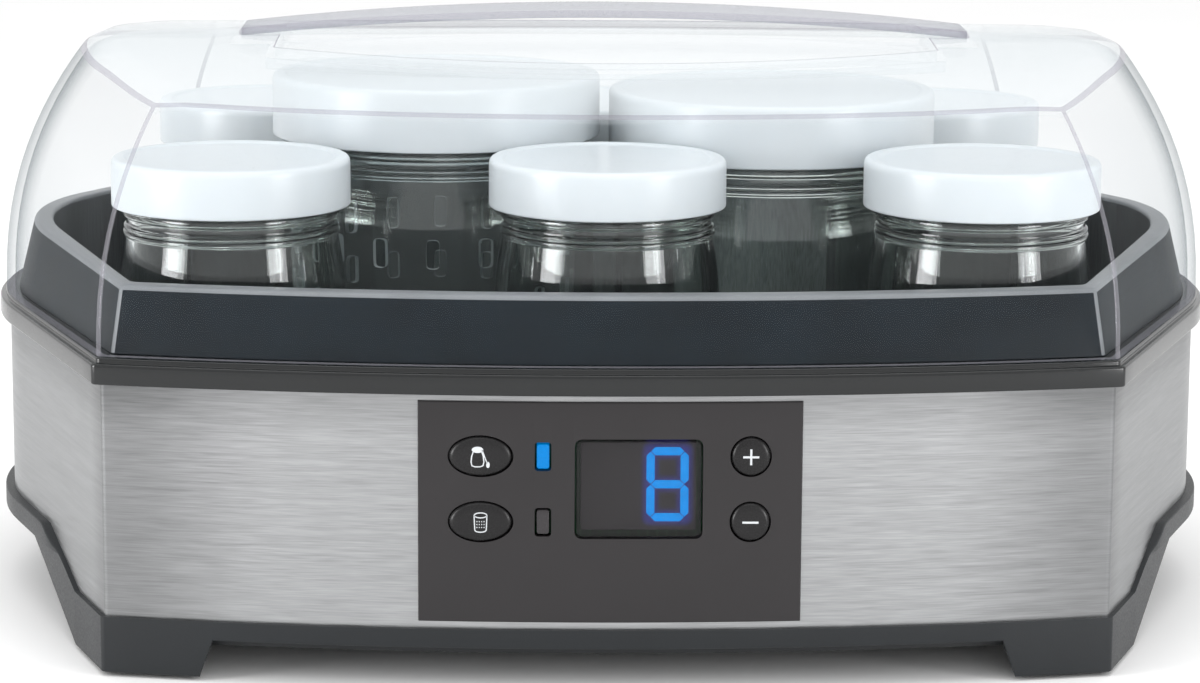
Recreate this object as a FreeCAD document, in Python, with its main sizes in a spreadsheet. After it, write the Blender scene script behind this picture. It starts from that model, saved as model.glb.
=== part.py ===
# Electric yogurt maker: a heated steel-sided base with a tub, eight glass jars and a clear lid.
# Millimetres. +Z is up, the control panel faces -Y and the origin is on the floor under the centre.
import FreeCAD, Part
import math
import os
import Sketcher
from FreeCAD import Placement, Rotation, Vector

DIMENSIONS = {
    # plan outline of the steel band, shared by every part that follows it
    "corner_half_width": 120.0, "corner_half_depth": 109.5, "front_bow": 12.5,
    "steel_half_width": 155.5, "side_arc_radius": 95.0, "steel_thickness": 0.8,
    # heights of the stacked rings
    "foot_height": 1.0, "cover_bottom": 7.4, "cover_top": 9.9, "skirt_bottom": 10.0,
    "ledge_height": 14.7, "lip_bottom": 20.3, "lip_top": 25.5, "well_ceiling_top": 22.5,
    "steel_top": 71.2, "trim_shoulder": 76.2, "trim_top": 77.4,
    # base housing
    "leg_proud": 1.2, "lip_proud": 2.3, "base_wall_inset": 5.0, "well_outer_inset": 17.0,
    "well_inner_inset": 19.5, "lip_half_length": 60.0, "riser_half_length": 87.0,
    "gap_top_half_length": 46.0, "gap_bottom_half_length": 86.5, "front_gap_half_top": 94.0,
    "front_gap_half_bottom": 97.3, "foot_inner_x": 98.0, "foot_inner_y": 89.0,
    # trim ring
    "trim_proud": 2.5, "trim_bead_inset": 1.4, "trim_inner_inset": 8.0,
    # tub
    "tub_floor": 34.0, "tub_wall": 2.5, "tub_floor_corner_x": 113.0, "tub_floor_corner_y": 88.0,
    "tub_floor_bow": 10.5, "tub_floor_half_width": 143.5, "tub_mouth_corner_x": 114.2,
    "tub_mouth_corner_y": 93.7, "tub_mouth_bow": 12.9, "tub_mouth_half_width": 144.0,
    "tub_side_radius": 84.0, "collar_foot_corner_x": 117.8, "collar_foot_corner_y": 105.4,
    "collar_foot_half_width": 153.2, "collar_top_corner_x": 115.7, "collar_top_corner_y": 97.5,
    "collar_top_half_width": 148.4, "collar_bow": 13.2, "collar_side_radius": 90.0,
    "rim_height": 92.8, "rim_side_height": 95.7, "boss_radius": 4.5, "boss_x": 85.0, "boss_y": 62.0,
    # lid
    "lid_wall": 2.2, "lid_corner_x": 120.8, "lid_corner_y": 108.5, "lid_half_width": 156.4,
    "lid_foot_bow": 13.0, "lid_crest_bow": 15.5, "lid_side_radius": 93.0, "lid_crest": 143.4,
    "lid_crease_height": 134.0, "lid_corner_lean_x": 11.7, "lid_corner_lean_y": 22.0,
    "lid_side_lean": 16.4, "lid_lean_power": 2.3, "lid_vault": 0.0009, "lid_roll_width": 12.0,
    "lid_roll_drop": 5.2, "lid_roll_level": 136.0, "lid_roll_fade": 1.45,
    "lid_corner_sag": 3.5,
    "recess_half_length": 84.0, "recess_end_half_width": 31.8, "recess_half_width": 52.2,
    "recess_floor": 139.0,
    # lid handle
    "handle_half_length": 94.0, "handle_rise": 5.25, "handle_flush": 1.5, "handle_thickness": 2.0,
    "handle_end_half_width": 10.5, "handle_middle_half_width": 12.5, "handle_clearance": 0.3,
    # jars and caps
    "small_jar_spacing_x": 93.0, "small_jar_row_y": 59.5, "small_cap_radius": 29.4,
    "small_cap_height": 12.0, "small_jar_height": 82.2, "small_jar_radius": 27.9,
    "large_jar_x": 44.0, "large_cap_radius": 42.8, "large_cap_height": 16.0,
    "large_jar_height": 92.5, "large_jar_radius": 41.3, "glass_wall": 2.6, "cap_wall": 1.7,
    "cap_top_thickness": 1.8, "thread_height": 2.0, "thread_proud": 0.9, "cap_thread_gap": 0.5,
    # strainer basket inside the left large jar
    "strainer_flange": 2.4, "strainer_flange_radius": 40.6, "strainer_mouth_radius": 36.4,
    "strainer_foot_radius": 33.8, "strainer_wall": 1.5, "strainer_slot_width": 3.3,
    "strainer_slot_height": 7.5, "strainer_slot_pitch": 14.0, "strainer_first_slot": 24.0,
    "strainer_gap": 1.4,
    # control panel
    "panel_half_width": 45.1, "panel_bottom": 16.5, "panel_top": 69.5, "panel_proud": 0.8,
    "panel_thickness": 3.0, "window_left": -8.4, "window_right": 21.7, "window_bottom": 36.8,
    "window_top": 60.7, "lamp_x": -15.8, "lamp_width": 3.9, "lamp_height": 6.9,
    "upper_row": 56.5, "lower_row": 40.8, "oval_button_x": -30.4, "round_button_x": 32.9,
    "oval_half_width": 7.4, "oval_half_height": 4.7, "round_radius": 4.6, "button_gap": 0.3,
    "button_proud": 0.8, "button_flange": 1.0, "board_front": -112.0, "board_thickness": 1.6,
    # heater and electrics
    "plate_length": 150.0, "plate_depth": 100.0, "plate_thickness": 1.5, "element_radius": 3.0,
    "element_bend_radius": 32.0, "element_half_run": 34.0, "power_board_length": 40.0,
    "power_board_depth": 70.0, "power_board_x": 85.0, "power_board_height": 14.0,
    # cord gland at the back
    "gland_height": 27.0, "gland_bore_radius": 3.2, "gland_body_radius": 5.5,
    "gland_flange_radius": 8.0,
}

document = FreeCAD.newDocument("YogurtMaker")
sheet = document.addObject("Spreadsheet::Sheet", "Sizes")


def fill_sheet():
    """Write every driving dimension to the sheet, its alias beside its value."""
    for row, (alias, value) in enumerate(DIMENSIONS.items(), start=1):
        sheet.set("A%d" % row, alias)
        sheet.set("B%d" % row, str(value))
        sheet.setAlias("B%d" % row, alias)
    document.recompute()


class Size:
    """A length that carries its number and the sheet expression it comes from."""

    def __init__(self, value, text):
        self.value = value
        self.text = text

    def combine(self, other, sign, flip=False):
        other = other if isinstance(other, Size) else Size(float(other), "(%s)" % float(other))
        first, second = (other, self) if flip else (self, other)
        numbers = {"+": first.value + second.value, "-": first.value - second.value,
                   "*": first.value * second.value}
        return Size(numbers[sign], "(%s %s %s)" % (first.text, sign, second.text))

    def __add__(self, other):
        return self.combine(other, "+")

    def __radd__(self, other):
        return self.combine(other, "+", flip=True)

    def __sub__(self, other):
        return self.combine(other, "-")

    def __rsub__(self, other):
        return self.combine(other, "-", flip=True)

    def __mul__(self, other):
        return self.combine(other, "*")

    def __rmul__(self, other):
        return self.combine(other, "*", flip=True)

    def __neg__(self):
        return self.combine(-1.0, "*")


def size(alias):
    return Size(float(sheet.get(alias)), "Sizes." + alias)


def fixed(number):
    return Size(float(number), "%s" % float(number))


def as_size(length):
    return length if isinstance(length, Size) else fixed(length)


# ---------------------------------------------------------------- plan outlines

# An inset of one moves the corner by these amounts, for the angle between front and side.
CORNER_SHIFT_X = 0.74
CORNER_SHIFT_Y = 0.87


class Outline:
    """Plan outline with four creased corners, bowed front and back, and sides of line, arc, line."""

    def __init__(self, corner_x, corner_y, bow, half_width, side_radius):
        self.corner_x = as_size(corner_x)
        self.corner_y = as_size(corner_y)
        self.bow = as_size(bow)
        self.half_width = as_size(half_width)
        self.side_radius = as_size(side_radius)

    def inset(self, distance):
        distance = as_size(distance)
        return Outline(self.corner_x - distance * CORNER_SHIFT_X,
                       self.corner_y - distance * CORNER_SHIFT_Y,
                       self.bow - distance * (1 - CORNER_SHIFT_Y),
                       self.half_width - distance, self.side_radius - distance)

    def tangent_point(self):
        """Where the straight part of a side meets its arc, on the +X +Y quarter."""
        radius = self.side_radius.value
        centre_x = self.half_width.value - radius
        across = self.corner_x.value - centre_x
        along = self.corner_y.value
        reach = math.hypot(across, along)
        angle = math.atan2(along, across) - math.acos(radius / reach)
        return centre_x + radius * math.cos(angle), radius * math.sin(angle)

    def side_at(self, y):
        """X of the right side at a distance from the middle, straight on past the corner."""
        tangent_x, tangent_y = self.tangent_point()
        if abs(y) <= tangent_y:
            radius = self.side_radius.value
            return self.half_width.value - radius + math.sqrt(radius ** 2 - y ** 2)
        slope = (self.corner_x.value - tangent_x) / (self.corner_y.value - tangent_y)
        return tangent_x + slope * (abs(y) - tangent_y)

    def curves(self):
        """Eight curves, counter-clockwise from the front left corner."""
        x, y = self.corner_x.value, self.corner_y.value
        side_x, side_y = self.tangent_point()
        edge_x, edge_y = self.half_width.value, y + self.bow.value

        def arc(start, middle, end):
            return Part.Arc(Vector(*start, 0), Vector(*middle, 0), Vector(*end, 0))

        def line(start, end):
            return Part.LineSegment(Vector(*start, 0), Vector(*end, 0))

        return [
            arc((-x, -y), (0, -edge_y), (x, -y)),
            line((x, -y), (side_x, -side_y)),
            arc((side_x, -side_y), (edge_x, 0), (side_x, side_y)),
            line((side_x, side_y), (x, y)),
            arc((x, y), (0, edge_y), (-x, y)),
            line((-x, y), (-side_x, side_y)),
            arc((-side_x, side_y), (-edge_x, 0), (-side_x, -side_y)),
            line((-side_x, -side_y), (-x, -y)),
        ]

    def wire(self, height):
        wire = Part.Wire([curve.toShape() for curve in self.curves()])
        wire.translate(Vector(0, 0, height))
        return wire

    def bow_radius_text(self):
        x, bow = self.corner_x.text, self.bow.text
        return "((%s)^2 + (%s)^2) / (2 * (%s))" % (x, bow, bow)


def add_outline(sketch, outline):
    """Draw one outline in a sketch and hold it with constraints tied to the sheet."""
    first = sketch.GeometryCount
    for curve in outline.curves():
        sketch.addGeometry(curve, False)
    front, side, back = first, first + 2, first + 4
    corners = ((front, 1, -1, -1), (front, 2, 1, -1), (back, 1, 1, 1), (back, 2, -1, 1))
    for geometry in range(first, first + 8):
        follower = geometry + 1 if geometry < first + 7 else first
        kind = "Tangent" if geometry - first in (1, 2, 5, 6) else "Coincident"
        sketch.addConstraint(Sketcher.Constraint(kind, geometry, 2, follower, 1))
    for geometry, point, sign_x, sign_y in corners:
        hold(sketch, "DistanceX", geometry, point, outline.corner_x * sign_x)
        hold(sketch, "DistanceY", geometry, point, outline.corner_y * sign_y)
    for geometry in (front, back):
        number = sketch.addConstraint(Sketcher.Constraint(
            "Radius", geometry, sketch.Geometry[geometry].Radius))
        sketch.setExpression("Constraints[%d]" % number, outline.bow_radius_text())
    centre = outline.half_width - outline.side_radius
    for geometry, sign in ((side, 1), (first + 6, -1)):
        number = sketch.addConstraint(Sketcher.Constraint(
            "Radius", geometry, outline.side_radius.value))
        sketch.setExpression("Constraints[%d]" % number, outline.side_radius.text)
        hold(sketch, "DistanceX", geometry, 3, centre * sign)
        sketch.addConstraint(Sketcher.Constraint("PointOnObject", geometry, 3, -1))


def hold(sketch, kind, geometry, point, length):
    """Fix one coordinate of a sketch point to an expression."""
    number = sketch.addConstraint(Sketcher.Constraint(kind, -1, 1, geometry, point, length.value))
    sketch.setExpression("Constraints[%d]" % number, length.text)


# ---------------------------------------------------------------- document helpers

def new_body(name):
    body = document.addObject("PartDesign::Body", name)
    body.Label = name
    return body


def origin_feature(body, role):
    return next(item for item in body.Origin.OriginFeatures if item.Role == role)


def new_sketch(body, name, role, offset):
    sketch = body.newObject("Sketcher::SketchObject", name)
    sketch.AttachmentSupport = [(origin_feature(body, role), "")]
    sketch.MapMode = "FlatFace"
    offset = as_size(offset)
    sketch.AttachmentOffset = Placement(Vector(0, 0, offset.value), Rotation())
    sketch.setExpression("AttachmentOffset.Base.z", offset.text)
    return sketch


def add_polygon(sketch, corners):
    """A closed chain of lines, each corner held by its two coordinates."""
    corners = [(as_size(across), as_size(along)) for across, along in corners]
    first = sketch.GeometryCount
    count = len(corners)
    for number, (across, along) in enumerate(corners):
        next_across, next_along = corners[(number + 1) % count]
        sketch.addGeometry(Part.LineSegment(Vector(across.value, along.value, 0),
                                            Vector(next_across.value, next_along.value, 0)), False)
    for number in range(count):
        follower = first + (number + 1) % count
        sketch.addConstraint(Sketcher.Constraint("Coincident", first + number, 2, follower, 1))
        across, along = corners[number]
        hold(sketch, "DistanceX", first + number, 1, across)
        hold(sketch, "DistanceY", first + number, 1, along)


def pad(body, sketch, length, name="Pad"):
    feature = body.newObject("PartDesign::Pad", name)
    feature.Profile = sketch
    feature.setExpression("Length", as_size(length).text)
    body.Tip = feature
    return feature


def prism(name, role, corners, start, end):
    """A polygon on one origin plane, padded between two distances from it."""
    start, end = as_size(start), as_size(end)
    body = new_body(name)
    sketch = new_sketch(body, name + "_profile", role, start)
    add_polygon(sketch, corners)
    pad(body, sketch, end - start)
    return body


def outline_prism(name, outline, start, end, hole=None):
    """A plan outline, with or without an outline hole, padded between two heights."""
    start, end = as_size(start), as_size(end)
    body = new_body(name)
    sketch = new_sketch(body, name + "_plan", "XY_Plane", start)
    add_outline(sketch, outline)
    if hole:
        add_outline(sketch, hole)
    pad(body, sketch, end - start)
    return body


def turned(name, corners, centre=(0, 0, 0)):
    """A profile of radius and height turned about +Z."""
    body = new_body(name)
    sketch = new_sketch(body, name + "_profile", "XZ_Plane", 0)
    add_polygon(sketch, corners)
    feature = body.newObject("PartDesign::Revolution", name + "_turn")
    feature.Profile = sketch
    feature.ReferenceAxis = (origin_feature(body, "Z_Axis"), [""])
    feature.Angle = 360.0
    body.Tip = feature
    body.Placement = Placement(Vector(*[as_size(part).value for part in centre]), Rotation())
    return body


def round_edges(body, radius, chosen, name="Rounding"):
    """Fillet the edges of the body's tip that the chosen test accepts."""
    document.recompute()
    tip = body.Tip
    names = ["Edge%d" % (number + 1) for number, edge in enumerate(tip.Shape.Edges) if chosen(edge)]
    feature = body.newObject("PartDesign::Fillet", name)
    feature.Base = (tip, names)
    feature.Radius = radius
    body.Tip = feature


def box(name, low, high):
    """A box between two corners, each coordinate tied to the sheet."""
    low, high = [as_size(part) for part in low], [as_size(part) for part in high]
    solid = document.addObject("Part::Box", name)
    solid.Label = name
    for prop, near, far in zip(("Length", "Width", "Height"), low, high):
        solid.setExpression(prop, (far - near).text)
    for axis, near in zip("xyz", low):
        solid.setExpression("Placement.Base." + axis, near.text)
    return solid


UPRIGHT = Rotation()
TO_BACK = Rotation(Vector(1, 0, 0), -90)


def cylinder(name, radius, length, foot, turn=UPRIGHT):
    """A cylinder standing on its foot point, upright or pointing to the back."""
    radius, length = as_size(radius), as_size(length)
    solid = document.addObject("Part::Cylinder", name)
    solid.Label = name
    solid.setExpression("Radius", radius.text)
    solid.setExpression("Height", length.text)
    solid.Placement = Placement(Vector(*[as_size(part).value for part in foot]), turn)
    return solid


def ellipse_prism(name, half_width, half_height, centre, front, length):
    """An upright ellipse swept towards the back."""
    curve = document.addObject("Part::Ellipse", name + "_curve")
    curve.setExpression("MajorRadius", as_size(half_width).text)
    curve.setExpression("MinorRadius", as_size(half_height).text)
    centre_x, centre_z = [as_size(part).value for part in centre]
    curve.Placement = Placement(Vector(centre_x, as_size(front).value, centre_z),
                                Rotation(Vector(1, 0, 0), 90))
    solid = document.addObject("Part::Extrusion", name)
    solid.Label = name
    solid.Base = curve
    solid.DirMode = "Custom"
    solid.Dir = Vector(0, 1, 0)
    solid.setExpression("LengthFwd", as_size(length).text)
    solid.Solid = True
    return solid


def fuse(name, solids):
    result = document.addObject("Part::MultiFuse", name)
    result.Label = name
    result.Shapes = solids
    result.Refine = True
    return result


def common(name, first, second):
    result = document.addObject("Part::MultiCommon", name)
    result.Label = name
    result.Shapes = [first, second]
    return result


def cut(name, base, tools):
    """The base without the tools, one Part::Cut for each."""
    for number, tool in enumerate(tools, start=1):
        last = number == len(tools)
        result = document.addObject("Part::Cut", name if last else "%s_step%d" % (name, number))
        result.Label = result.Name if not last else name
        result.Base = base
        result.Tool = tool
        base = result
    return base


def feature_from(name, shape, place=None):
    """A document object around a shape that the model's own functions made."""
    feature = document.addObject("Part::Feature", name)
    feature.Label = name
    feature.Shape = shape
    feature.Placement = place or Placement()
    return feature


def group_of(name, solids):
    """Separate identical pieces kept as one node."""
    document.recompute()
    return feature_from(name, Part.makeCompound([solid.Shape.copy() for solid in solids]))


def both_signs(along_x, along_y):
    return [(sign_x * along_x, sign_y * along_y) for sign_x in (-1, 1) for sign_y in (-1, 1)]


FAR = 200.0     # beyond every part, for cutters that go right through


def steel_outline():
    return Outline(size("corner_half_width"), size("corner_half_depth"), size("front_bow"),
                   size("steel_half_width"), size("side_arc_radius"))


# ---------------------------------------------------------------- base

def side_zone(name, bottom, top):
    """The two blocks of space, left and right, that hold the finger wells."""
    reach = size("foot_inner_y")
    inner = size("foot_inner_x") + 2
    left = box(name + "_left", (-FAR, -reach, bottom), (-inner, reach, top))
    right = box(name + "_right", (inner, -reach, bottom), (FAR, reach, top))
    return fuse(name, [left, right])


def corner_polygon(sign_x, sign_y, margin=0.0):
    """Plan of the block inside one leg."""
    x, y = size("foot_inner_x") - margin, size("foot_inner_y") - margin
    points = [(x, y), (x, 112.0 + margin), (118.0 + margin, 107.5 + margin), (126.0 + margin, y)]
    return [(as_size(across) * sign_x, as_size(along) * sign_y) for across, along in points]


def base_ring():
    """Skirt, legs and finger lips: a wall whose top and bottom edges step in the side view."""
    steel = steel_outline()
    foot, lip_top, lip_bottom = size("foot_height"), size("lip_top"), size("lip_bottom")
    ledge = size("ledge_height")
    hole = steel.inset(size("base_wall_inset"))
    legs = outline_prism("legs", steel.inset(-size("leg_proud")), foot, lip_top, hole)
    lips = outline_prism("lips", steel.inset(-size("lip_proud")), lip_bottom, lip_top, hole)
    cutters = []
    for number, sign in enumerate((-1, 1)):
        riser, lip = size("riser_half_length") * sign, size("lip_half_length") * sign
        cutters.append(prism("above_ledge_%d" % number, "YZ_Plane",
                             [(riser, ledge), (lip, lip_top), (lip, 40), (sign * FAR, 40),
                              (sign * FAR, ledge)], -FAR, FAR))
    low, high = size("gap_bottom_half_length"), size("gap_top_half_length")
    cutters.append(prism("side_gap", "YZ_Plane",
                         [(-low, foot), (-high, lip_bottom), (high, lip_bottom), (low, foot),
                          (low, -5), (-low, -5)], -FAR, FAR))
    low, high = size("front_gap_half_bottom"), size("front_gap_half_top")
    cutters.append(prism("front_gap", "XZ_Plane",
                         [(-low, foot), (-high, size("skirt_bottom")), (high, size("skirt_bottom")),
                          (low, foot), (low, -5), (-low, -5)], -FAR, FAR))
    return cut("base_ring", fuse("ring_blank", [legs, lips]), cutters)


def finger_wells():
    """Ceiling and back wall of the hand hollow under each lip."""
    steel = steel_outline()
    blank = outline_prism("well_blank", steel.inset(size("base_wall_inset") - 1),
                          size("cover_top"), size("well_ceiling_top"),
                          steel.inset(size("well_inner_inset")))
    hollow = outline_prism("well_hollow", steel.inset(-10), -5, size("lip_bottom"),
                           steel.inset(size("well_outer_inset")))
    return common("finger_wells", cut("well_shell", blank, [hollow]),
                  side_zone("well_zone", 0, 40))


def base_housing():
    blocks = [prism("foot_block_%d" % number, "XY_Plane", corner_polygon(sign_x, sign_y),
                    size("foot_height"), size("ledge_height") - 2)
              for number, (sign_x, sign_y) in enumerate(both_signs(1, 1))]
    return fuse("base_housing", [base_ring(), finger_wells()] + blocks)


def rubber_feet():
    pads = []
    for number, (sign_x, sign_y) in enumerate(both_signs(1, 1)):
        points = [(100, 93), (100, 110.5), (116.5, 106.5), (122, 93)]
        pads.append(prism("foot_pad_%d" % number, "XY_Plane",
                          [(sign_x * x, sign_y * y) for x, y in points], 0, size("foot_height")))
    return group_of("rubber_feet", pads)


SCREW_HOLE_RADIUS = 1.5
POWER_SCREW_RADIUS = 0.9


def bottom_cover():
    steel = steel_outline()
    bottom, top = size("cover_bottom"), size("cover_top")
    plate = outline_prism("cover_plate", steel.inset(size("base_wall_inset") + 0.5), bottom, top)
    side_void = outline_prism("cover_side_void", steel.inset(-20), bottom - 5, top + 5,
                              steel.inset(size("well_outer_inset")))
    tools = [common("cover_side_cut", side_void, side_zone("cover_zone", 0, 30))]
    for number, (sign_x, sign_y) in enumerate(both_signs(1, 1)):
        tools.append(prism("cover_corner_%d" % number, "XY_Plane",
                           corner_polygon(sign_x, sign_y, 0.5), 0, 30))
        x, y = size("boss_x") * sign_x, size("boss_y") * sign_y
        tools.append(cylinder("cover_hole_%d" % number, SCREW_HOLE_RADIUS + 0.4, 20, (x, y, 0)))
    for number in range(7):
        x = -54.0 + 18.0 * number
        tools.append(box("cover_vent_%d" % number, (x - 2, -30, 0), (x + 2, 30, 20)))
    posts, pilots = [], []
    for number, (x, y) in enumerate(power_board_corners()):
        posts.append(cylinder("board_post_%d" % number, 3, size("power_board_height") - top,
                              (x, y, top)))
        pilots.append(cylinder("board_pilot_%d" % number, POWER_SCREW_RADIUS + 0.05, 10,
                               (x, y, top + 0.3)))
    solid = fuse("cover_solid", [cut("cover_blank", plate, tools)] + posts)
    return cut("bottom_cover", solid, pilots)


def screw_solid(name, foot, length, radius, head_radius, head_height, turn=UPRIGHT):
    """A pan-head screw whose shaft starts at the foot and points along its turn."""
    x, y, z = [as_size(part).value for part in foot]
    back = turn.multVec(Vector(0, 0, -head_height))
    shaft = cylinder(name + "_shaft", radius, length, (x, y, z), turn)
    head = cylinder(name + "_head", head_radius, head_height, (x + back.x, y + back.y, z + back.z),
                    turn)
    return fuse(name, [shaft, head])


def cover_screws():
    screws = [screw_solid("cover_screw_%d" % number, (x, y, size("cover_bottom")), 16,
                          SCREW_HOLE_RADIUS - 0.1, 3.0, 1.8)
              for number, (x, y) in enumerate(both_signs(size("boss_x").value,
                                                         size("boss_y").value))]
    return group_of("cover_screws", screws)


# ---------------------------------------------------------------- body

PANEL_REBATE = 1.5      # how far the panel's face laps over the edge of its opening


def steel_band():
    """The brushed wrap before it is parted: a ring notched over the side lips."""
    steel = steel_outline()
    ledge, lip_top = size("ledge_height"), size("lip_top")
    riser, lip = size("riser_half_length"), size("lip_half_length")
    ring = outline_prism("steel_ring", steel, ledge, size("steel_top"),
                         steel.inset(size("steel_thickness")))
    notch = prism("steel_notch", "YZ_Plane",
                  [(-riser, ledge), (-lip, lip_top), (lip, lip_top), (riser, ledge)], -FAR, FAR)
    half = size("panel_half_width") - PANEL_REBATE
    window = box("steel_window", (-half, -FAR, size("panel_bottom") + PANEL_REBATE),
                 (half, 0, size("panel_top") - PANEL_REBATE))
    gland = cylinder("steel_gland_hole", size("gland_body_radius") + 0.2, FAR,
                     (0, 0, size("gland_height")), TO_BACK)
    return cut("steel_band", ring, [notch, window, gland])


def steel_sheets():
    """Four sheets that meet in a mitre along each folded corner."""
    x, y = size("corner_half_width") * 2, size("corner_half_depth") * 2
    wedges = {"steel_front": [(0, 0), (-x, -y), (x, -y)], "steel_back": [(0, 0), (x, y), (-x, y)],
              "steel_left": [(0, 0), (-x, y), (-x, -y)], "steel_right": [(0, 0), (x, -y), (x, y)]}
    band = steel_band()
    for name, corners in wedges.items():
        common(name, band, prism(name + "_zone", "XY_Plane", corners, 0, size("trim_top")))


def trim_ring():
    trim = steel_outline().inset(-size("trim_proud"))
    hole = trim.inset(size("trim_inner_inset"))
    shoulder = outline_prism("trim_shoulder_ring", trim, size("steel_top"), size("trim_shoulder"),
                             hole)
    bead = outline_prism("trim_bead_ring", trim.inset(size("trim_bead_inset")),
                         size("trim_shoulder"), size("trim_top"), hole)
    return fuse("trim_ring", [shoulder, bead])


def loft(outlines):
    """A solid through plan outlines, each given with its height."""
    return Part.makeLoft([outline.wire(height) for outline, height in outlines], True, False)


def tub_cavity_outline(height, extra=0.0):
    """The tub's inside at a height, between the floor and the mouth."""
    span = size("rim_side_height").value - size("tub_floor").value
    share = (height - size("tub_floor").value) / span

    def between(low, high):
        return size(low).value + share * (size(high).value - size(low).value)

    outline = Outline(between("tub_floor_corner_x", "tub_mouth_corner_x"),
                      between("tub_floor_corner_y", "tub_mouth_corner_y"),
                      between("tub_floor_bow", "tub_mouth_bow"),
                      between("tub_floor_half_width", "tub_mouth_half_width"),
                      size("tub_side_radius"))
    return outline.inset(-extra)


def inner_tub():
    floor, wall, top = size("tub_floor").value, size("tub_wall").value, size("trim_top").value
    crest = size("rim_side_height").value + 1
    bowl = loft([(tub_cavity_outline(height, wall), height) for height in (floor - wall, top)])
    foot = Outline(size("collar_foot_corner_x"), size("collar_foot_corner_y"), size("collar_bow"),
                   size("collar_foot_half_width"), size("collar_side_radius"))
    brim = Outline(size("collar_top_corner_x"), size("collar_top_corner_y"), size("collar_bow"),
                   size("collar_top_half_width"), size("collar_side_radius"))
    collar = loft([(foot, top), (brim, crest)])
    cavity = loft([(tub_cavity_outline(height), height) for height in (floor, crest + 1)])
    corner, side = size("rim_height").value, size("rim_side_height").value
    inner_x, outer_x = size("collar_top_corner_x").value, size("collar_top_half_width").value
    slope = (side - corner) / (outer_x - inner_x)
    far_z = corner + slope * (FAR - inner_x)
    above = Part.makePolygon([Vector(-FAR, -FAR, far_z), Vector(-inner_x, -FAR, corner),
                              Vector(inner_x, -FAR, corner), Vector(FAR, -FAR, far_z),
                              Vector(FAR, -FAR, 150), Vector(-FAR, -FAR, 150),
                              Vector(-FAR, -FAR, far_z)])
    above = Part.Face(above).extrude(Vector(0, 2 * FAR, 0))
    tub = bowl.fuse(collar).cut(cavity).cut(above)
    low = size("cover_top").value
    for x, y in both_signs(size("boss_x").value, size("boss_y").value):
        boss = Part.makeCylinder(size("boss_radius").value, floor - wall - low, Vector(x, y, low))
        hole = Part.makeCylinder(SCREW_HOLE_RADIUS, 16, Vector(x, y, low))
        tub = tub.fuse(boss).cut(hole)
    return feature_from("inner_tub", tub.removeSplitter())


# ---------------------------------------------------------------- lid

def lid_outline(height, inset=0.0):
    """Lid plan at a height: the walls lean in, faster towards the top."""
    foot, crease = size("trim_top").value, size("lid_crease_height").value
    share = max(0.0, (height - foot) / (crease - foot))
    lean = share ** size("lid_lean_power").value
    bow = size("lid_foot_bow").value
    bow += lean * (size("lid_crest_bow").value - bow)
    outline = Outline(size("lid_corner_x").value - lean * size("lid_corner_lean_x").value,
                      size("lid_corner_y").value - lean * size("lid_corner_lean_y").value, bow,
                      size("lid_half_width").value - lean * size("lid_side_lean").value,
                      size("lid_side_radius").value)
    return outline.inset(inset)


def lid_top_height(x, y, edge):
    """Barrel vault, lower toward the four corners, rolled down along the sides beyond an X."""
    across, along = x / size("lid_corner_x").value, y / size("lid_corner_y").value
    vault = size("lid_crest").value - size("lid_vault").value * y * y
    vault -= size("lid_corner_sag").value * (across * along) ** 2
    beyond = max(0.0, abs(x) - edge) / size("lid_roll_width").value
    fade = max(0.0, 1 - size("lid_roll_fade").value * along ** 2)
    return vault - size("lid_roll_drop").value * fade * beyond ** 2


GRID_X, GRID_Y = 65, 33


def space_above_top(drop):
    """Everything higher than the lid's top, lowered by a drop, for cutting."""
    side = lid_outline(size("lid_roll_level").value)
    places = [130.0 * (2.0 * j / (GRID_Y - 1) - 1) for j in range(GRID_Y)]
    edges = [side.side_at(y) - size("lid_roll_width").value for y in places]
    columns = []
    for i in range(GRID_X):
        x = 165.0 * (2.0 * i / (GRID_X - 1) - 1)
        columns.append([Vector(x, y, lid_top_height(x, y, edge) - drop)
                        for y, edge in zip(places, edges)])
    surface = Part.BSplineSurface()
    surface.interpolate(columns)
    return surface.toShape().extrude(Vector(0, 0, 80))


def lid_form(inset, drop):
    """The solid under the lid's outer or inner skin."""
    foot = size("trim_top").value
    heights = [foot + step for step in (0, 16, 32, 44, 56, 64, 70)]
    blank = loft([(lid_outline(height, inset), height) for height in heights])
    return blank.cut(space_above_top(drop))


def lens_prism(half_length, end_width, middle_width, bottom, top):
    """An upright prism with an eye-shaped plan along X."""
    near_left, near_right = Vector(-half_length, -end_width, bottom), Vector(half_length, -end_width, bottom)
    far_left, far_right = Vector(-half_length, end_width, bottom), Vector(half_length, end_width, bottom)
    edges = [Part.Arc(near_left, Vector(0, -middle_width, bottom), near_right).toShape(),
             Part.LineSegment(near_right, far_right).toShape(),
             Part.Arc(far_right, Vector(0, middle_width, bottom), far_left).toShape(),
             Part.LineSegment(far_left, near_left).toShape()]
    return Part.Face(Part.Wire(edges)).extrude(Vector(0, 0, top - bottom))


def handle_skin(x, y, drop):
    """Height of the handle's top, an arch along X with the lid's own vault along Y."""
    arch = 1 - (x / size("handle_half_length").value) ** 2
    crest = size("lid_crest").value + size("handle_flush").value
    return crest + size("handle_rise").value * arch - size("lid_vault").value * y * y - drop


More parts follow.
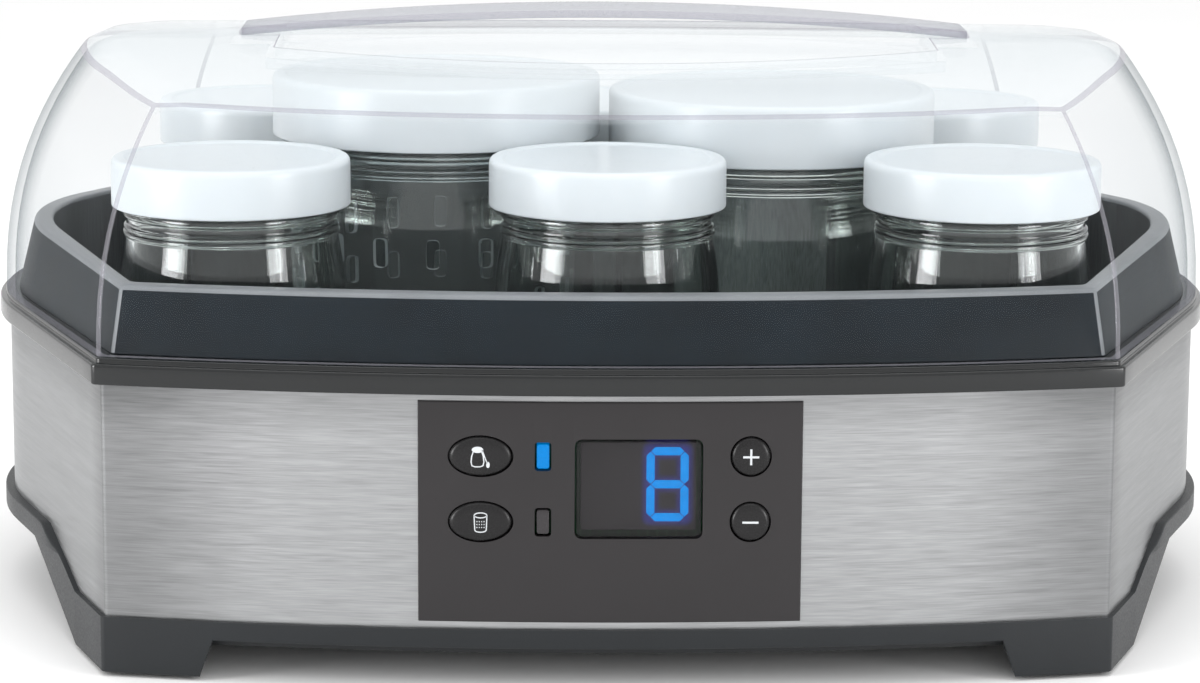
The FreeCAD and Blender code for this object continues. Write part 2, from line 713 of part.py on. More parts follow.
def handle_block(margin, drop):
    """The handle's solid, grown sideways by a margin, between two arched skins."""
    half = size("handle_half_length").value + margin
    end = size("handle_end_half_width").value + margin
    middle = size("handle_middle_half_width").value + margin
    plan = lens_prism(half, end, middle, 120, 170)

    def slab(offset):
        rows = [[Vector(x, y, handle_skin(x, y, offset))
                 for y in (45.0 * (2.0 * j / 8 - 1) for j in range(9))]
                for x in (110.0 * (2.0 * i / 16 - 1) for i in range(17))]
        surface = Part.BSplineSurface()
        surface.interpolate(rows)
        return surface.toShape().extrude(Vector(0, 0, 60))

    return plan.common(slab(size("handle_thickness").value + drop)).cut(slab(0))


def end_seats():
    """Pockets in the lid's top that the two ends of the handle lie in."""
    gap = size("handle_clearance").value
    half, end = size("handle_half_length").value, size("handle_end_half_width").value
    seats = []
    for sign in (-1, 1):
        inner, outer = half - 16, half + gap
        pocket = Part.makeBox(outer - inner, 2 * (end + gap), 40,
                              Vector(inner if sign > 0 else -outer, -end - gap, 130))
        seats.append(pocket.common(seat_space(0)))
    return seats


def seat_space(lower):
    """The space above the surface that the handle's ends rest on, lowered by a distance."""
    rows = [[Vector(x, y, handle_skin(size("handle_half_length").value, y, 0)
                    - size("handle_thickness").value - lower)
             for y in (50.0 * (2.0 * j / 8 - 1) for j in range(9))] for x in (-120.0, 0.0, 120.0)]
    surface = Part.BSplineSurface()
    surface.interpolate(rows)
    return surface.toShape().extrude(Vector(0, 0, 60))


def lid_cover():
    wall, floor = size("lid_wall").value, size("recess_floor").value
    half, end, middle = (size("recess_half_length").value, size("recess_end_half_width").value,
                         size("recess_half_width").value)
    outer = lid_form(0, 0)
    shell = outer.cut(lid_form(wall, wall).common(Part.makeBox(400, 400, 200, Vector(-200, -200, 60))))
    thick = lens_prism(half + wall, end + wall, middle + wall, floor - wall, 160).common(outer)
    gap, reach = size("handle_clearance").value, size("handle_half_length").value
    handle_end = size("handle_end_half_width").value
    seat_block = Part.makeBox(2 * (reach + gap + wall), 2 * (handle_end + gap + wall), 40,
                              Vector(-reach - gap - wall, -handle_end - gap - wall, 130))
    seat_block = seat_block.common(seat_space(wall)).common(outer)
    shell = shell.fuse(thick).fuse(seat_block)
    shell = shell.cut(lens_prism(half, end, middle, floor, 160))
    for seat in end_seats():
        shell = shell.cut(seat)
    return feature_from("lid_cover", shell.removeSplitter())


def lid_handle():
    return feature_from("lid_handle", handle_block(0, 0))


# ---------------------------------------------------------------- jars

def jar_profile(height, radius, rim_radius, wall):
    """Half section of a glass jar: foot, body, shoulder, neck with bead and thread, rim."""
    shoulder = height - 18.5
    thread, proud = size("thread_height"), size("thread_proud")
    neck = rim_radius
    outside = [
        (0, 0), (radius - 3.2, 0), (radius - 0.9, 0.9), (radius, 3.4), (radius, shoulder),
        (radius - 1.2, shoulder + 1.6), (neck, shoulder + 2.6), (neck, shoulder + 3.6),
        (neck + proud, shoulder + 4.2), (neck + proud, shoulder + 5.8), (neck, shoulder + 6.4),
        (neck, height - 8.4), (neck + proud, height - 7.8), (neck + proud, height - 7.8 + thread),
        (neck, height - 7.2 + thread), (neck, height),
    ]
    bore = neck - wall
    inside = [(bore, height), (bore, shoulder + 2.6), (radius - wall, shoulder - 1),
              (radius - wall, 6.5), (radius - wall - 2.2, 4.3), (0, 3.6)]
    return outside + inside


def cap_profile(height, radius, inner_radius, top):
    """Half section of a screw cap: side wall, top plate and the shallow dish inside its rim."""
    dish, border = 0.5, 3.0
    return [(inner_radius, 0), (radius, 0), (radius, height - 1.8), (radius - 0.5, height - 0.6),
            (radius - 1.8, height), (radius - border, height), (radius - border - 0.5, height - dish),
            (0, height - dish), (0, height - dish - top), (inner_radius, height - dish - top)]


def jar_set(kind, name, cap_name, x, y, lift):
    """One jar with its cap, standing on the tub floor; the lift raises the cap on a basket rim."""
    floor = size("tub_floor")
    height, radius = size(kind + "_jar_height"), size(kind + "_jar_radius")
    cap_radius, cap_height = size(kind + "_cap_radius"), size(kind + "_cap_height")
    inner = cap_radius - size("cap_wall")
    neck = inner - size("cap_thread_gap") - size("thread_proud")
    turned(name, jar_profile(height, radius, neck, size("glass_wall")), (x, y, floor))
    top = size("cap_top_thickness")
    foot = floor + height + 0.5 + top - cap_height + lift
    turned(cap_name, cap_profile(cap_height, cap_radius, inner, top), (x, y, foot))


def small_jar_places():
    """Front row from left to right, then the back row."""
    step, row = size("small_jar_spacing_x"), size("small_jar_row_y")
    return [(step * column, row * side) for side in (-1, 1) for column in (-1, 0, 1)]


def jars():
    for number, (x, y) in enumerate(small_jar_places(), start=1):
        jar_set("small", "small_jar_%d" % number, "small_cap_%d" % number, x, y, fixed(0))
    jar_set("large", "large_jar_left", "large_cap_left", -size("large_jar_x"), fixed(0),
            size("strainer_flange") + size("strainer_gap"))
    jar_set("large", "large_jar_right", "large_cap_right", size("large_jar_x"), fixed(0), fixed(0))


SLOT_COLUMNS = 16
SLOT_ROWS = 3


def strainer_basket():
    """Straining basket that hangs by its flange on the left large jar's rim."""
    wall, flange = size("strainer_wall"), size("strainer_flange")
    mouth, foot_radius = size("strainer_mouth_radius"), size("strainer_foot_radius")
    rim, bottom = size("large_jar_height"), size("strainer_first_slot") - 15
    body = turned("basket_blank", [
        (0, bottom), (foot_radius, bottom), (mouth, rim), (size("strainer_flange_radius"), rim),
        (size("strainer_flange_radius"), rim + flange), (mouth - wall, rim + flange),
        (mouth - wall, rim), (foot_radius - wall, bottom + wall), (0, bottom + wall)])
    document.recompute()
    basket = body.Shape.copy()
    width, tall = size("strainer_slot_width").value, size("strainer_slot_height").value
    for row in range(SLOT_ROWS):
        z = size("strainer_first_slot").value + row * size("strainer_slot_pitch").value
        for column in range(SLOT_COLUMNS):
            slot = Part.makeBox(20, width, tall, Vector(25, -width / 2, z))
            slot.rotate(Vector(0, 0, 0), Vector(0, 0, 1), 360.0 * column / SLOT_COLUMNS)
            basket = basket.cut(slot)
    holes = [(ring * 9.0, 360.0 * step / (6 * ring)) for ring in (1, 2, 3) for step in range(6 * ring)]
    for reach, angle in holes:
        hole = Part.makeCylinder(1.4, 10, Vector(reach, 0, bottom.value - 4))
        hole.rotate(Vector(0, 0, 0), Vector(0, 0, 1), angle)
        basket = basket.cut(hole)
    return feature_from("strainer_basket", basket,
                        Placement(Vector(-size("large_jar_x").value, 0, size("tub_floor").value),
                                  Rotation()))


# ---------------------------------------------------------------- control panel

def bow_radius():
    """Radius of the steel's front face in plan."""
    half, bow = size("corner_half_width").value, size("front_bow").value
    return (half ** 2 + bow ** 2) / (2 * bow)


def front_y(x, proud=0.0):
    """Y of the steel's front face, or of a face standing proud of it, at an X."""
    front = -(size("corner_half_depth").value + size("front_bow").value)
    radius = bow_radius() + proud
    return front + radius - proud - math.sqrt(radius ** 2 - x ** 2)


def bow_centre_y():
    return bow_radius() - size("corner_half_depth").value - size("front_bow").value


def button_places():
    """Name, kind, X and height of each button."""
    upper, lower = size("upper_row"), size("lower_row")
    oval, circle = size("oval_button_x"), size("round_button_x")
    return [("yogurt_button", "oval", oval, upper), ("strain_button", "oval", oval, lower),
            ("plus_button", "round", circle, upper), ("minus_button", "round", circle, lower)]


def button_outline(name, kind, x, z, grow, front, length):
    """The button's own outline, grown by a gap or a flange, swept to the back."""
    if kind == "oval":
        return ellipse_prism(name, size("oval_half_width") + grow, size("oval_half_height") + grow,
                             (x, z), front, length)
    return cylinder(name, size("round_radius") + grow, length, (x, front, z), TO_BACK)


FACE_GAP = 0.03         # between the panel's face and the steel behind it


def panel_fascia():
    proud, thickness = size("panel_proud"), size("panel_thickness")
    half, low, high = size("panel_half_width"), size("panel_bottom"), size("panel_top")
    centre = (0, bow_centre_y(), low)
    radius = fixed(bow_radius())
    outer = cylinder("fascia_outer", radius + proud, high - low, centre)
    face = common("fascia_face", cut("fascia_arc", outer, [
        cylinder("fascia_steel_side", radius + FACE_GAP, high - low, centre)]),
        box("fascia_zone", (-half, -FAR, low), (half, 0, high)))
    inner_outer = cylinder("fascia_plug_outer", radius + 0.1, high - low, centre)
    plug = common("fascia_plug", cut("fascia_plug_arc", inner_outer, [
        cylinder("fascia_back", radius + proud - thickness, high - low, centre)]),
        box("fascia_plug_zone", (-half + 1.8, -FAR, low + 1.8), (half - 1.8, 0, high - 1.8)))
    tools = [box("window_hole", (size("window_left"), -FAR, size("window_bottom")),
                 (size("window_right"), -100, size("window_top")))]
    for number, z in enumerate((size("upper_row"), size("lower_row"))):
        x, width, tall = size("lamp_x"), size("lamp_width") * 0.5, size("lamp_height") * 0.5
        tools.append(box("lamp_hole_%d" % number, (x - width, -FAR, z - tall),
                         (x + width, -100, z + tall)))
    for name, kind, x, z in button_places():
        tools.append(button_outline(name + "_hole", kind, x, z, size("button_gap"), -130, 30))
    blank = fuse("fascia_blank", [face, plug])
    posts = [cylinder("fascia_post_%d" % number, 1.8,
                      size("board_front").value - front_y(x, 0) - 2.0,
                      (x, front_y(x, 0) + 2.0, z), TO_BACK)
             for number, (x, z) in enumerate(control_board_corners())]
    pilots = [cylinder("fascia_pilot_%d" % number, 0.8, 6.5, (x, size("board_front").value - 6, z),
                       TO_BACK) for number, (x, z) in enumerate(control_board_corners())]
    return cut("panel_fascia", fuse("fascia_body", [cut("fascia_cut", blank, tools)] + posts), pilots)


def display_window():
    gap, back = 0.15, 1.5
    front = front_y(0, size("panel_proud").value) + 0.7
    return box("display_window",
               (size("window_left") + gap, front, size("window_bottom") + gap),
               (size("window_right") - gap, front + back, size("window_top") - gap))


def display_module():
    front = front_y(0) + 2.6
    return box("display_module", (size("window_left") + 1.5, front, size("window_bottom") + 1.5),
               (size("window_right") - 1.5, size("board_front"), size("window_top") - 1.5))


def digit_segments():
    """Seven bars of one large digit on the front of the display module."""
    left, right, low, high, stroke = 8.5, 18.4, 40.4, 58.2, 1.9
    middle = (low + high) / 2
    front = front_y(0) + 2.6
    bars = []

    def bar(x0, z0, x1, z1):
        """One bar with pointed ends between two stroke centres."""
        half = stroke / 2
        shrink = half + 0.15
        if abs(x1 - x0) > abs(z1 - z0):
            points = [(x0 + shrink - half, z0), (x0 + shrink, z0 + half), (x1 - shrink, z0 + half),
                      (x1 - shrink + half, z0), (x1 - shrink, z0 - half), (x0 + shrink, z0 - half)]
        else:
            points = [(x0, z0 + shrink - half), (x0 - half, z0 + shrink), (x0 - half, z1 - shrink),
                      (x0, z1 - shrink + half), (x0 + half, z1 - shrink), (x0 + half, z0 + shrink)]
        wire = Part.makePolygon([Vector(x, front - 0.3, z) for x, z in points + points[:1]])
        bars.append(Part.Face(wire).extrude(Vector(0, 0.3, 0)))

    near, far = left + stroke / 2, right - stroke / 2
    bottom, top = low + stroke / 2, high - stroke / 2
    for z in (bottom, middle, top):
        bar(near, z, far, z)
    for x in (near, far):
        bar(x, bottom, x, middle)
        bar(x, middle, x, top)
    return feature_from("digit_segments", Part.makeCompound(bars))


def indicator_lens(name, z):
    x, width, tall = size("lamp_x"), size("lamp_width") * 0.5 - 0.15, size("lamp_height") * 0.5 - 0.15
    front = front_y(size("lamp_x").value, size("panel_proud").value) + 0.2
    return box(name, (x - width, front, z - tall), (x + width, size("board_front"), z + tall))


def button(name, kind, x, z):
    """Cap through the fascia, a flange behind it and a short stem towards the switch."""
    front = front_y(x.value, size("panel_proud").value) - size("button_proud").value
    flange_front = front_y(abs(x.value) + 9, size("panel_proud").value) + size("panel_thickness").value + 0.1
    cap = button_outline(name + "_cap", kind, x, z, fixed(0), front, flange_front - front + 0.5)
    flange = button_outline(name + "_flange", kind, x, z, size("button_flange"), flange_front, 1.2)
    stem = cylinder(name + "_stem", 2.0, switch_tip_y() - BUTTON_TRAVEL - 0.1 - flange_front - 1.0,
                    (x, flange_front + 1.0, z), TO_BACK)
    return fuse(name, [cap, flange, stem])


BUTTON_TRAVEL = 1.2
SWITCH_BODY = 2.4
SWITCH_TIP = 0.5


def switch_tip_y():
    return size("board_front").value - SWITCH_BODY - SWITCH_TIP


def button_switches():
    switches = []
    for name, kind, x, z in button_places():
        board = size("board_front")
        body = box(name + "_switch_body", (x - 3, board - SWITCH_BODY, z - 3), (x + 3, board, z + 3))
        tip = cylinder(name + "_switch_tip", 1.7, SWITCH_BODY + SWITCH_TIP, (x, switch_tip_y(), z), TO_BACK)
        switches.append(fuse(name + "_switch", [body, tip]))
    return group_of("button_switches", switches)


def control_board_corners():
    return [(x, z) for x in (-40.0, 40.0) for z in (22.5, 64.0)]


def control_board():
    front, thickness = size("board_front"), size("board_thickness")
    plate = box("control_plate", (-42.5, front, 20), (42.5, front + thickness, 66.5))
    holes = [cylinder("control_hole_%d" % number, 1.1, 10, (x, front - 4, z), TO_BACK)
             for number, (x, z) in enumerate(control_board_corners())]
    return cut("control_board", plate, holes)


def board_screws():
    """Screws that hold the control board to the fascia and the power board to the cover."""
    back = size("board_front").value + size("board_thickness").value
    to_front = Rotation(Vector(1, 0, 0), 90)
    screws = [screw_solid("control_screw_%d" % number, (x, back, z), 5.5, 0.75, 1.7, 1.1, to_front)
              for number, (x, z) in enumerate(control_board_corners())]
    upside_down = Rotation(Vector(1, 0, 0), 180)
    top = size("power_board_height").value + size("board_thickness").value
    screws += [screw_solid("power_screw_%d" % number, (x, y, top), 5.0,
                          POWER_SCREW_RADIUS, 2.0, 1.2, upside_down)
               for number, (x, y) in enumerate(power_board_corners())]
    return group_of("board_screws", screws)


# ---------------------------------------------------------------- heater and electrics

def heating_plate():
    half_x, half_y = size("plate_length") * 0.5, size("plate_depth") * 0.5
    top = size("tub_floor") - size("tub_wall")
    body = prism("heating_plate", "XY_Plane", [(-half_x, -half_y), (half_x, -half_y), (half_x, half_y),
                                               (-half_x, half_y)], top - size("plate_thickness"), top)
    round_edges(body, 12.0, lambda edge: len(edge.Vertexes) == 2
                and abs(edge.Vertexes[0].Z - edge.Vertexes[1].Z) > 1)
    return body


def element_height():
    top = size("tub_floor") - size("tub_wall") - size("plate_thickness")
    return top - size("element_radius") - 0.1


def heating_element():
    """A tubular heater bent to a racetrack, open at the side where its two tails leave."""
    bend, run = size("element_bend_radius").value, size("element_half_run").value
    z = element_height().value
    tail = run + 30

    def at(x, y):
        return Vector(x, y, z)

    path = Part.Wire([
        Part.LineSegment(at(tail, -bend), at(-run, -bend)).toShape(),
        Part.Arc(at(-run, -bend), at(-run - bend, 0), at(-run, bend)).toShape(),
        Part.LineSegment(at(-run, bend), at(tail, bend)).toShape()])
    section = Part.Wire([Part.Circle(at(tail, -bend), Vector(1, 0, 0),
                                     size("element_radius").value).toShape()])
    return feature_from("heating_element", path.makePipeShell([section], True, True))


def element_clips():
    """Straps that press the element against the plate."""
    bend, radius = size("element_bend_radius").value, size("element_radius").value
    top = size("tub_floor").value - size("tub_wall").value - size("plate_thickness").value
    clips = []
    for number, (x, y) in enumerate(both_signs(size("element_half_run").value, bend)):
        outside = box("clip_outside_%d" % number, (x - 3, y - radius - 1.4, top - 2 * radius - 1.4),
                      (x + 3, y + radius + 1.4, top))
        inside = box("clip_inside_%d" % number, (x - 4, y - radius - 0.4, top - 2 * radius - 0.4),
                     (x + 4, y + radius + 0.4, top + 1))
        flanges = [box("clip_foot_%d_%d" % (number, side),
                       (x - 3, y + side * (radius + 4.2) - 3.0, top - 1.0),
                       (x + 3, y + side * (radius + 4.2) + 3.0, top)) for side in (-1, 1)]
        clips.append(cut("clip_%d" % number, fuse("clip_blank_%d" % number, [outside] + flanges),
                         [inside]))
    return group_of("element_clips", clips)


def temperature_sensor():
    top = size("tub_floor") - size("tub_wall") - size("plate_thickness")
    return cylinder("temperature_sensor", 4.0, 5.0, (0, 0, top - 5.0))


def thermal_fuse():
    top = size("tub_floor").value - size("tub_wall").value - size("plate_thickness").value
    barrel = Part.makeCylinder(2.2, 12, Vector(-6, 16, top - 2.3), Vector(1, 0, 0))
    leads = Part.makeCylinder(0.5, 26, Vector(-13, 16, top - 2.3), Vector(1, 0, 0))
    return feature_from("thermal_fuse", barrel.fuse(leads))


def power_board_corners():
    x = size("power_board_x").value
    length, depth = size("power_board_length").value, size("power_board_depth").value
    return [(x + 4, -depth / 2 + 4), (x + 4, depth / 2 - 4), (x + length - 4, -depth / 2 + 4),
            (x + length - 4, depth / 2 - 4)]


def power_board():
    x, height = size("power_board_x"), size("power_board_height")
    half = size("power_board_depth") * 0.5
    plate = box("power_plate", (x, -half, height),
                (x + size("power_board_length"), half, height + size("board_thickness")))
    holes = [cylinder("power_hole_%d" % number, 1.1, 10, (px, py, height - 2))
             for number, (px, py) in enumerate(power_board_corners())]
    return cut("power_board", plate, holes)


def on_power_board(name, x, y, length, depth, tall):
    base = size("power_board_height") + size("board_thickness")
    left = size("power_board_x") + x
    return box(name, (left, y, base), (left + length, as_size(y) + depth, base + tall))


def power_capacitor():
    base = size("power_board_height") + size("board_thickness")
    return cylinder("power_capacitor", 5.0, 12.0, (size("power_board_x") + 12, -16, base))


def wiring():
    """Flat ribbon from the control board to the power board, folded at right angles."""
    back = size("board_front") + size("board_thickness")
    floor = size("cover_top") + 1.5
    drop = box("ribbon_drop", (24, back, floor), (34, back + 0.6, 30))
    run = box("ribbon_run", (24, back, floor), (34, -10, floor + 0.6))
    turn = box("ribbon_turn", (24, -20, floor), (size("power_board_x") - 1, -10, floor + 0.6))
    rise = box("ribbon_rise", (size("power_board_x") - 1, -20, floor),
               (size("power_board_x") - 0.4, -10, size("power_board_height") + 2))
    return fuse("ribbon_cable", [drop, run, turn, rise])


def cord_gland():
    """Bushing in the back of the steel band that the supply cord would come through."""
    z = size("gland_height")
    back = size("corner_half_depth") + size("front_bow")
    flange = cylinder("gland_flange", size("gland_flange_radius"), 1.8, (0, back + 0.08, z), TO_BACK)
    body = cylinder("gland_body", size("gland_body_radius"), 11.8, (0, back - 10, z), TO_BACK)
    nut = cylinder("gland_nut", size("gland_flange_radius") - 0.6, 3.0, (0, back - 4.2, z), TO_BACK)
    bore = cylinder("gland_bore", size("gland_bore_radius"), 40, (0, back - 20, z), TO_BACK)
    return cut("cord_gland", fuse("gland_blank", [flange, body, nut]), [bore])


# ---------------------------------------------------------------- build and export

def build():
    base_housing()
    rubber_feet()
    bottom_cover()
    cover_screws()
    steel_sheets()
    trim_ring()
    inner_tub()
    lid_cover()
    lid_handle()
    jars()
    strainer_basket()
    panel_fascia()
    display_window()
    display_module()
    digit_segments()
    indicator_lens("upper_indicator", size("upper_row"))
    indicator_lens("lower_indicator", size("lower_row"))
    for place in button_places():
        button(*place)
    button_switches()
    control_board()
    board_screws()
    heating_plate()
    heating_element()
    element_clips()
    temperature_sensor()
    thermal_fuse()
    power_board()
    on_power_board("transformer", 6, 6, 26, 22, 13)
    on_power_board("heater_relay", 22, -28, 14, 18, 11)
    power_capacitor()
    wiring()
    cord_gland()


SUB_PARTS = (
    ["base_housing", "rubber_feet", "bottom_cover", "cover_screws", "steel_front",
     "steel_back", "steel_left", "steel_right", "trim_ring",
     "inner_tub", "lid_cover", "lid_handle", "strainer_basket", "panel_fascia", "display_window",
     "display_module", "digit_segments", "upper_indicator", "lower_indicator", "yogurt_button",
     "strain_button", "plus_button", "minus_button", "button_switches", "control_board",
     "board_screws", "heating_plate", "heating_element", "element_clips", "temperature_sensor",
     "thermal_fuse", "power_board", "transformer", "heater_relay", "power_capacitor",
     "ribbon_cable", "cord_gland", "large_jar_left", "large_jar_right", "large_cap_left",
     "large_cap_right"]
    + ["small_jar_%d" % number for number in range(1, 7)]
    + ["small_cap_%d" % number for number in range(1, 7)])


def check_document():
    """Stop if any object failed or any sub-part has no valid shape."""
    failed = [item.Label for item in document.Objects
              if "Invalid" in item.State or "Error" in item.State]
    if failed:
        raise RuntimeError("failed objects: " + ", ".join(failed))
    for label in SUB_PARTS:
        shape = document.getObjectsByLabel(label)[0].Shape
        if shape.isNull() or not shape.isValid() or not shape.Solids:
            raise RuntimeError("bad shape: " + label)


def export():
    os.makedirs("parts", exist_ok=True)
    for label in SUB_PARTS:
        item = document.getObjectsByLabel(label)[0]
        item.Shape.exportStep("parts/" + label + ".step")
        print(label, len(item.Shape.Solids), round(item.Shape.Volume, 1))


fill_sheet()
build()
document.recompute()
check_document()
export()
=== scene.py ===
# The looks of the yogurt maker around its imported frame. Shapes are in millimetres until they
# become meshes; +Z is up and the control panel faces -Y.
import math

import bmesh
import bpy
from mathutils import Matrix, Vector


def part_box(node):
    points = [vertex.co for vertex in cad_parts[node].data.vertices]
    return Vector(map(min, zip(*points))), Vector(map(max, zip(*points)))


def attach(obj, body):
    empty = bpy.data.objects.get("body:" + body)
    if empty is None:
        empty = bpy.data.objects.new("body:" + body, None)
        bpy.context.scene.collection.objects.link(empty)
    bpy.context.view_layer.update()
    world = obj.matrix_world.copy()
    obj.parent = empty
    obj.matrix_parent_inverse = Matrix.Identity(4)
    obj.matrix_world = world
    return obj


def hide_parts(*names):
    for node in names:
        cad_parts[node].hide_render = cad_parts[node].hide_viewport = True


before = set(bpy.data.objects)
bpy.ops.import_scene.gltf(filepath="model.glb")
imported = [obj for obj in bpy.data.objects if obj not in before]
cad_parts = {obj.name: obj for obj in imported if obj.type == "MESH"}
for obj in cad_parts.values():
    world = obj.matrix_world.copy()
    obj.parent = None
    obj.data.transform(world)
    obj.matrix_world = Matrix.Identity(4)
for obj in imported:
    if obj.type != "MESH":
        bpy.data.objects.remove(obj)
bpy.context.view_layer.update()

MM = 0.001


# ---------------------------------------------------------------- mesh code

class Shape:
    """Points in millimetres and faces, each face with the number of its material."""

    def __init__(self):
        self.points, self.faces, self.paints = [], [], []

    def add(self, points):
        first = len(self.points)
        self.points.extend(points)
        return list(range(first, len(self.points)))

    def face(self, corners, paint=0):
        self.faces.append(tuple(corners))
        self.paints.append(paint)

    def bridge(self, low, high, closed=True, paint=0):
        """Quads between two rows; paint is a number or a function of the column."""
        for i in range(len(low) if closed else len(low) - 1):
            j = (i + 1) % len(low)
            number = paint(i) if callable(paint) else paint
            self.face((low[i], low[j], high[j], high[i]), number)

    def rows(self, rows, closed=True, ring=False, paint=None, ends=None):
        """Quads through rows of points; a ring joins the last to the first, ends close both."""
        indices = [self.add(row) for row in rows]
        for number in range(len(indices) if ring else len(indices) - 1):
            following = indices[(number + 1) % len(indices)]
            self.bridge(indices[number], following, closed,
                        (lambda i, r=number: paint(r, i)) if paint else 0)
        if ends is not None:
            self.face(indices[0], ends)
            self.face(indices[-1], ends)
        return indices


def soften(path, radii, steps=3, closed=False):
    """Replace each corner of a path by a short curve; a radius of 0 keeps the corner."""
    points = [Vector(point) for point in path]
    count = len(points)
    result = []
    for i, (point, radius) in enumerate(zip(points, radii)):
        if radius == 0 or (not closed and i in (0, count - 1)):
            result.append(point)
            continue
        before, after = points[i - 1] - point, points[(i + 1) % count] - point
        start = point + before.normalized() * min(radius, 0.45 * before.length)
        end = point + after.normalized() * min(radius, 0.45 * after.length)
        for step in range(steps + 1):
            t = step / steps
            result.append(start * (1 - t) ** 2 + point * (2 * t * (1 - t)) + end * t ** 2)
    return [tuple(point) for point in result]


def soft_profile(corners, steps):
    """A half section from corners of radius, height and the amount that each is softened by."""
    return soften([(r, z) for r, z, _ in corners], [amount for *_, amount in corners], steps)


def mesh_object(name, shape, materials):
    """A clean mesh object in metres: merged points, outward faces."""
    mesh = bpy.data.meshes.new(name)
    mesh.from_pydata([(x * MM, y * MM, z * MM) for x, y, z in shape.points], [], shape.faces)
    for material in materials:
        mesh.materials.append(MATERIALS[material])
    mesh.polygons.foreach_set("material_index", shape.paints)
    bm = bmesh.new()
    bm.from_mesh(mesh)
    bmesh.ops.remove_doubles(bm, verts=bm.verts, dist=2e-6)
    bmesh.ops.dissolve_degenerate(bm, edges=bm.edges, dist=2e-6)
    bmesh.ops.recalc_face_normals(bm, faces=bm.faces)
    bm.to_mesh(mesh)
    bm.free()
    piece = bpy.data.objects.new(name, mesh)
    bpy.context.scene.collection.objects.link(piece)
    return piece


def shade(piece, sharp):
    mesh = piece.data
    mesh.polygons.foreach_set("use_smooth", [True] * len(mesh.polygons))
    mesh.set_sharp_from_angle(angle=math.radians(sharp))


def finished(piece, body, stands_for, sharp=32.0):
    """Shade a piece, tie it to its body and hide the CAD nodes it stands for."""
    shade(piece, sharp)
    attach(piece, body)
    if stands_for:
        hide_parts(*stands_for)
    return piece


def piece_from(name, shape, materials, body, stands_for, sharp=32.0):
    return finished(mesh_object(name, shape, materials), body, stands_for, sharp)


def with_boolean(piece, others, operation):
    """Apply one exact boolean per helper object and remove the helpers."""
    for other in others:
        modifier = piece.modifiers.new("Boolean", "BOOLEAN")
        modifier.operation, modifier.solver, modifier.object = operation, "EXACT", other
        graph = bpy.context.evaluated_depsgraph_get()
        mesh = bpy.data.meshes.new_from_object(piece.evaluated_get(graph))
        piece.modifiers.clear()
        old, piece.data = piece.data, mesh
        bpy.data.meshes.remove(old)
        mesh.name = piece.name
    for other in others:
        bpy.data.meshes.remove(other.data)
    return piece


def lathe(shape, profile, centre, segments=96, upright=True, ring=False):
    """Turn a profile of radius and height about +Z, or about +Y, at a centre."""
    rows = []
    for radius, height in profile:
        row = []
        for i in range(segments):
            angle = 2 * math.pi * i / segments
            across, along = radius * math.cos(angle), radius * math.sin(angle)
            offset = (across, along, height) if upright else (across, height, -along)
            row.append(tuple(a + b for a, b in zip(centre, offset)))
        rows.append(row)
    shape.rows(rows, ring=ring)


def prism(shape, outline, axis, low, high, paint=0):
    """A closed polygon pushed along an axis between two distances."""
    def at(point, depth):
        across, along = point
        return {"X": (depth, across, along), "Y": (across, depth, along),
                "Z": (across, along, depth)}[axis]

    near = shape.add([at(point, low) for point in outline])
    far = shape.add([at(point, high) for point in outline])
    shape.bridge(near, far, paint=paint)
    shape.face(reversed(near), paint)
    shape.face(far, paint)


def rounded_rectangle(left, right, low, high, radius, steps=5):
    corners = [(left, low), (right, low), (right, high), (left, high)]
    return soften(corners, [radius] * 4, steps, closed=True)


def ellipse(centre_x, centre_z, half_width, half_height, count=64):
    return [(centre_x + half_width * math.cos(2 * math.pi * i / count),
             centre_z + half_height * math.sin(2 * math.pi * i / count)) for i in range(count)]


# ---------------------------------------------------------------- plan outlines

FRONT_STATIONS = sorted(set(range(0, 92, 8)) | {5.6, 43.6, 94.0, 97.3})
SIDE_STATIONS = sorted(set(range(0, 88, 4)) | {46.0, 60.0, 86.5, 87.0})
PLAIN_CORNER_X, PLAIN_CORNER_Y = 120.0, 109.5
FOLD_STEPS = 5
LEAD_STEPS = 3


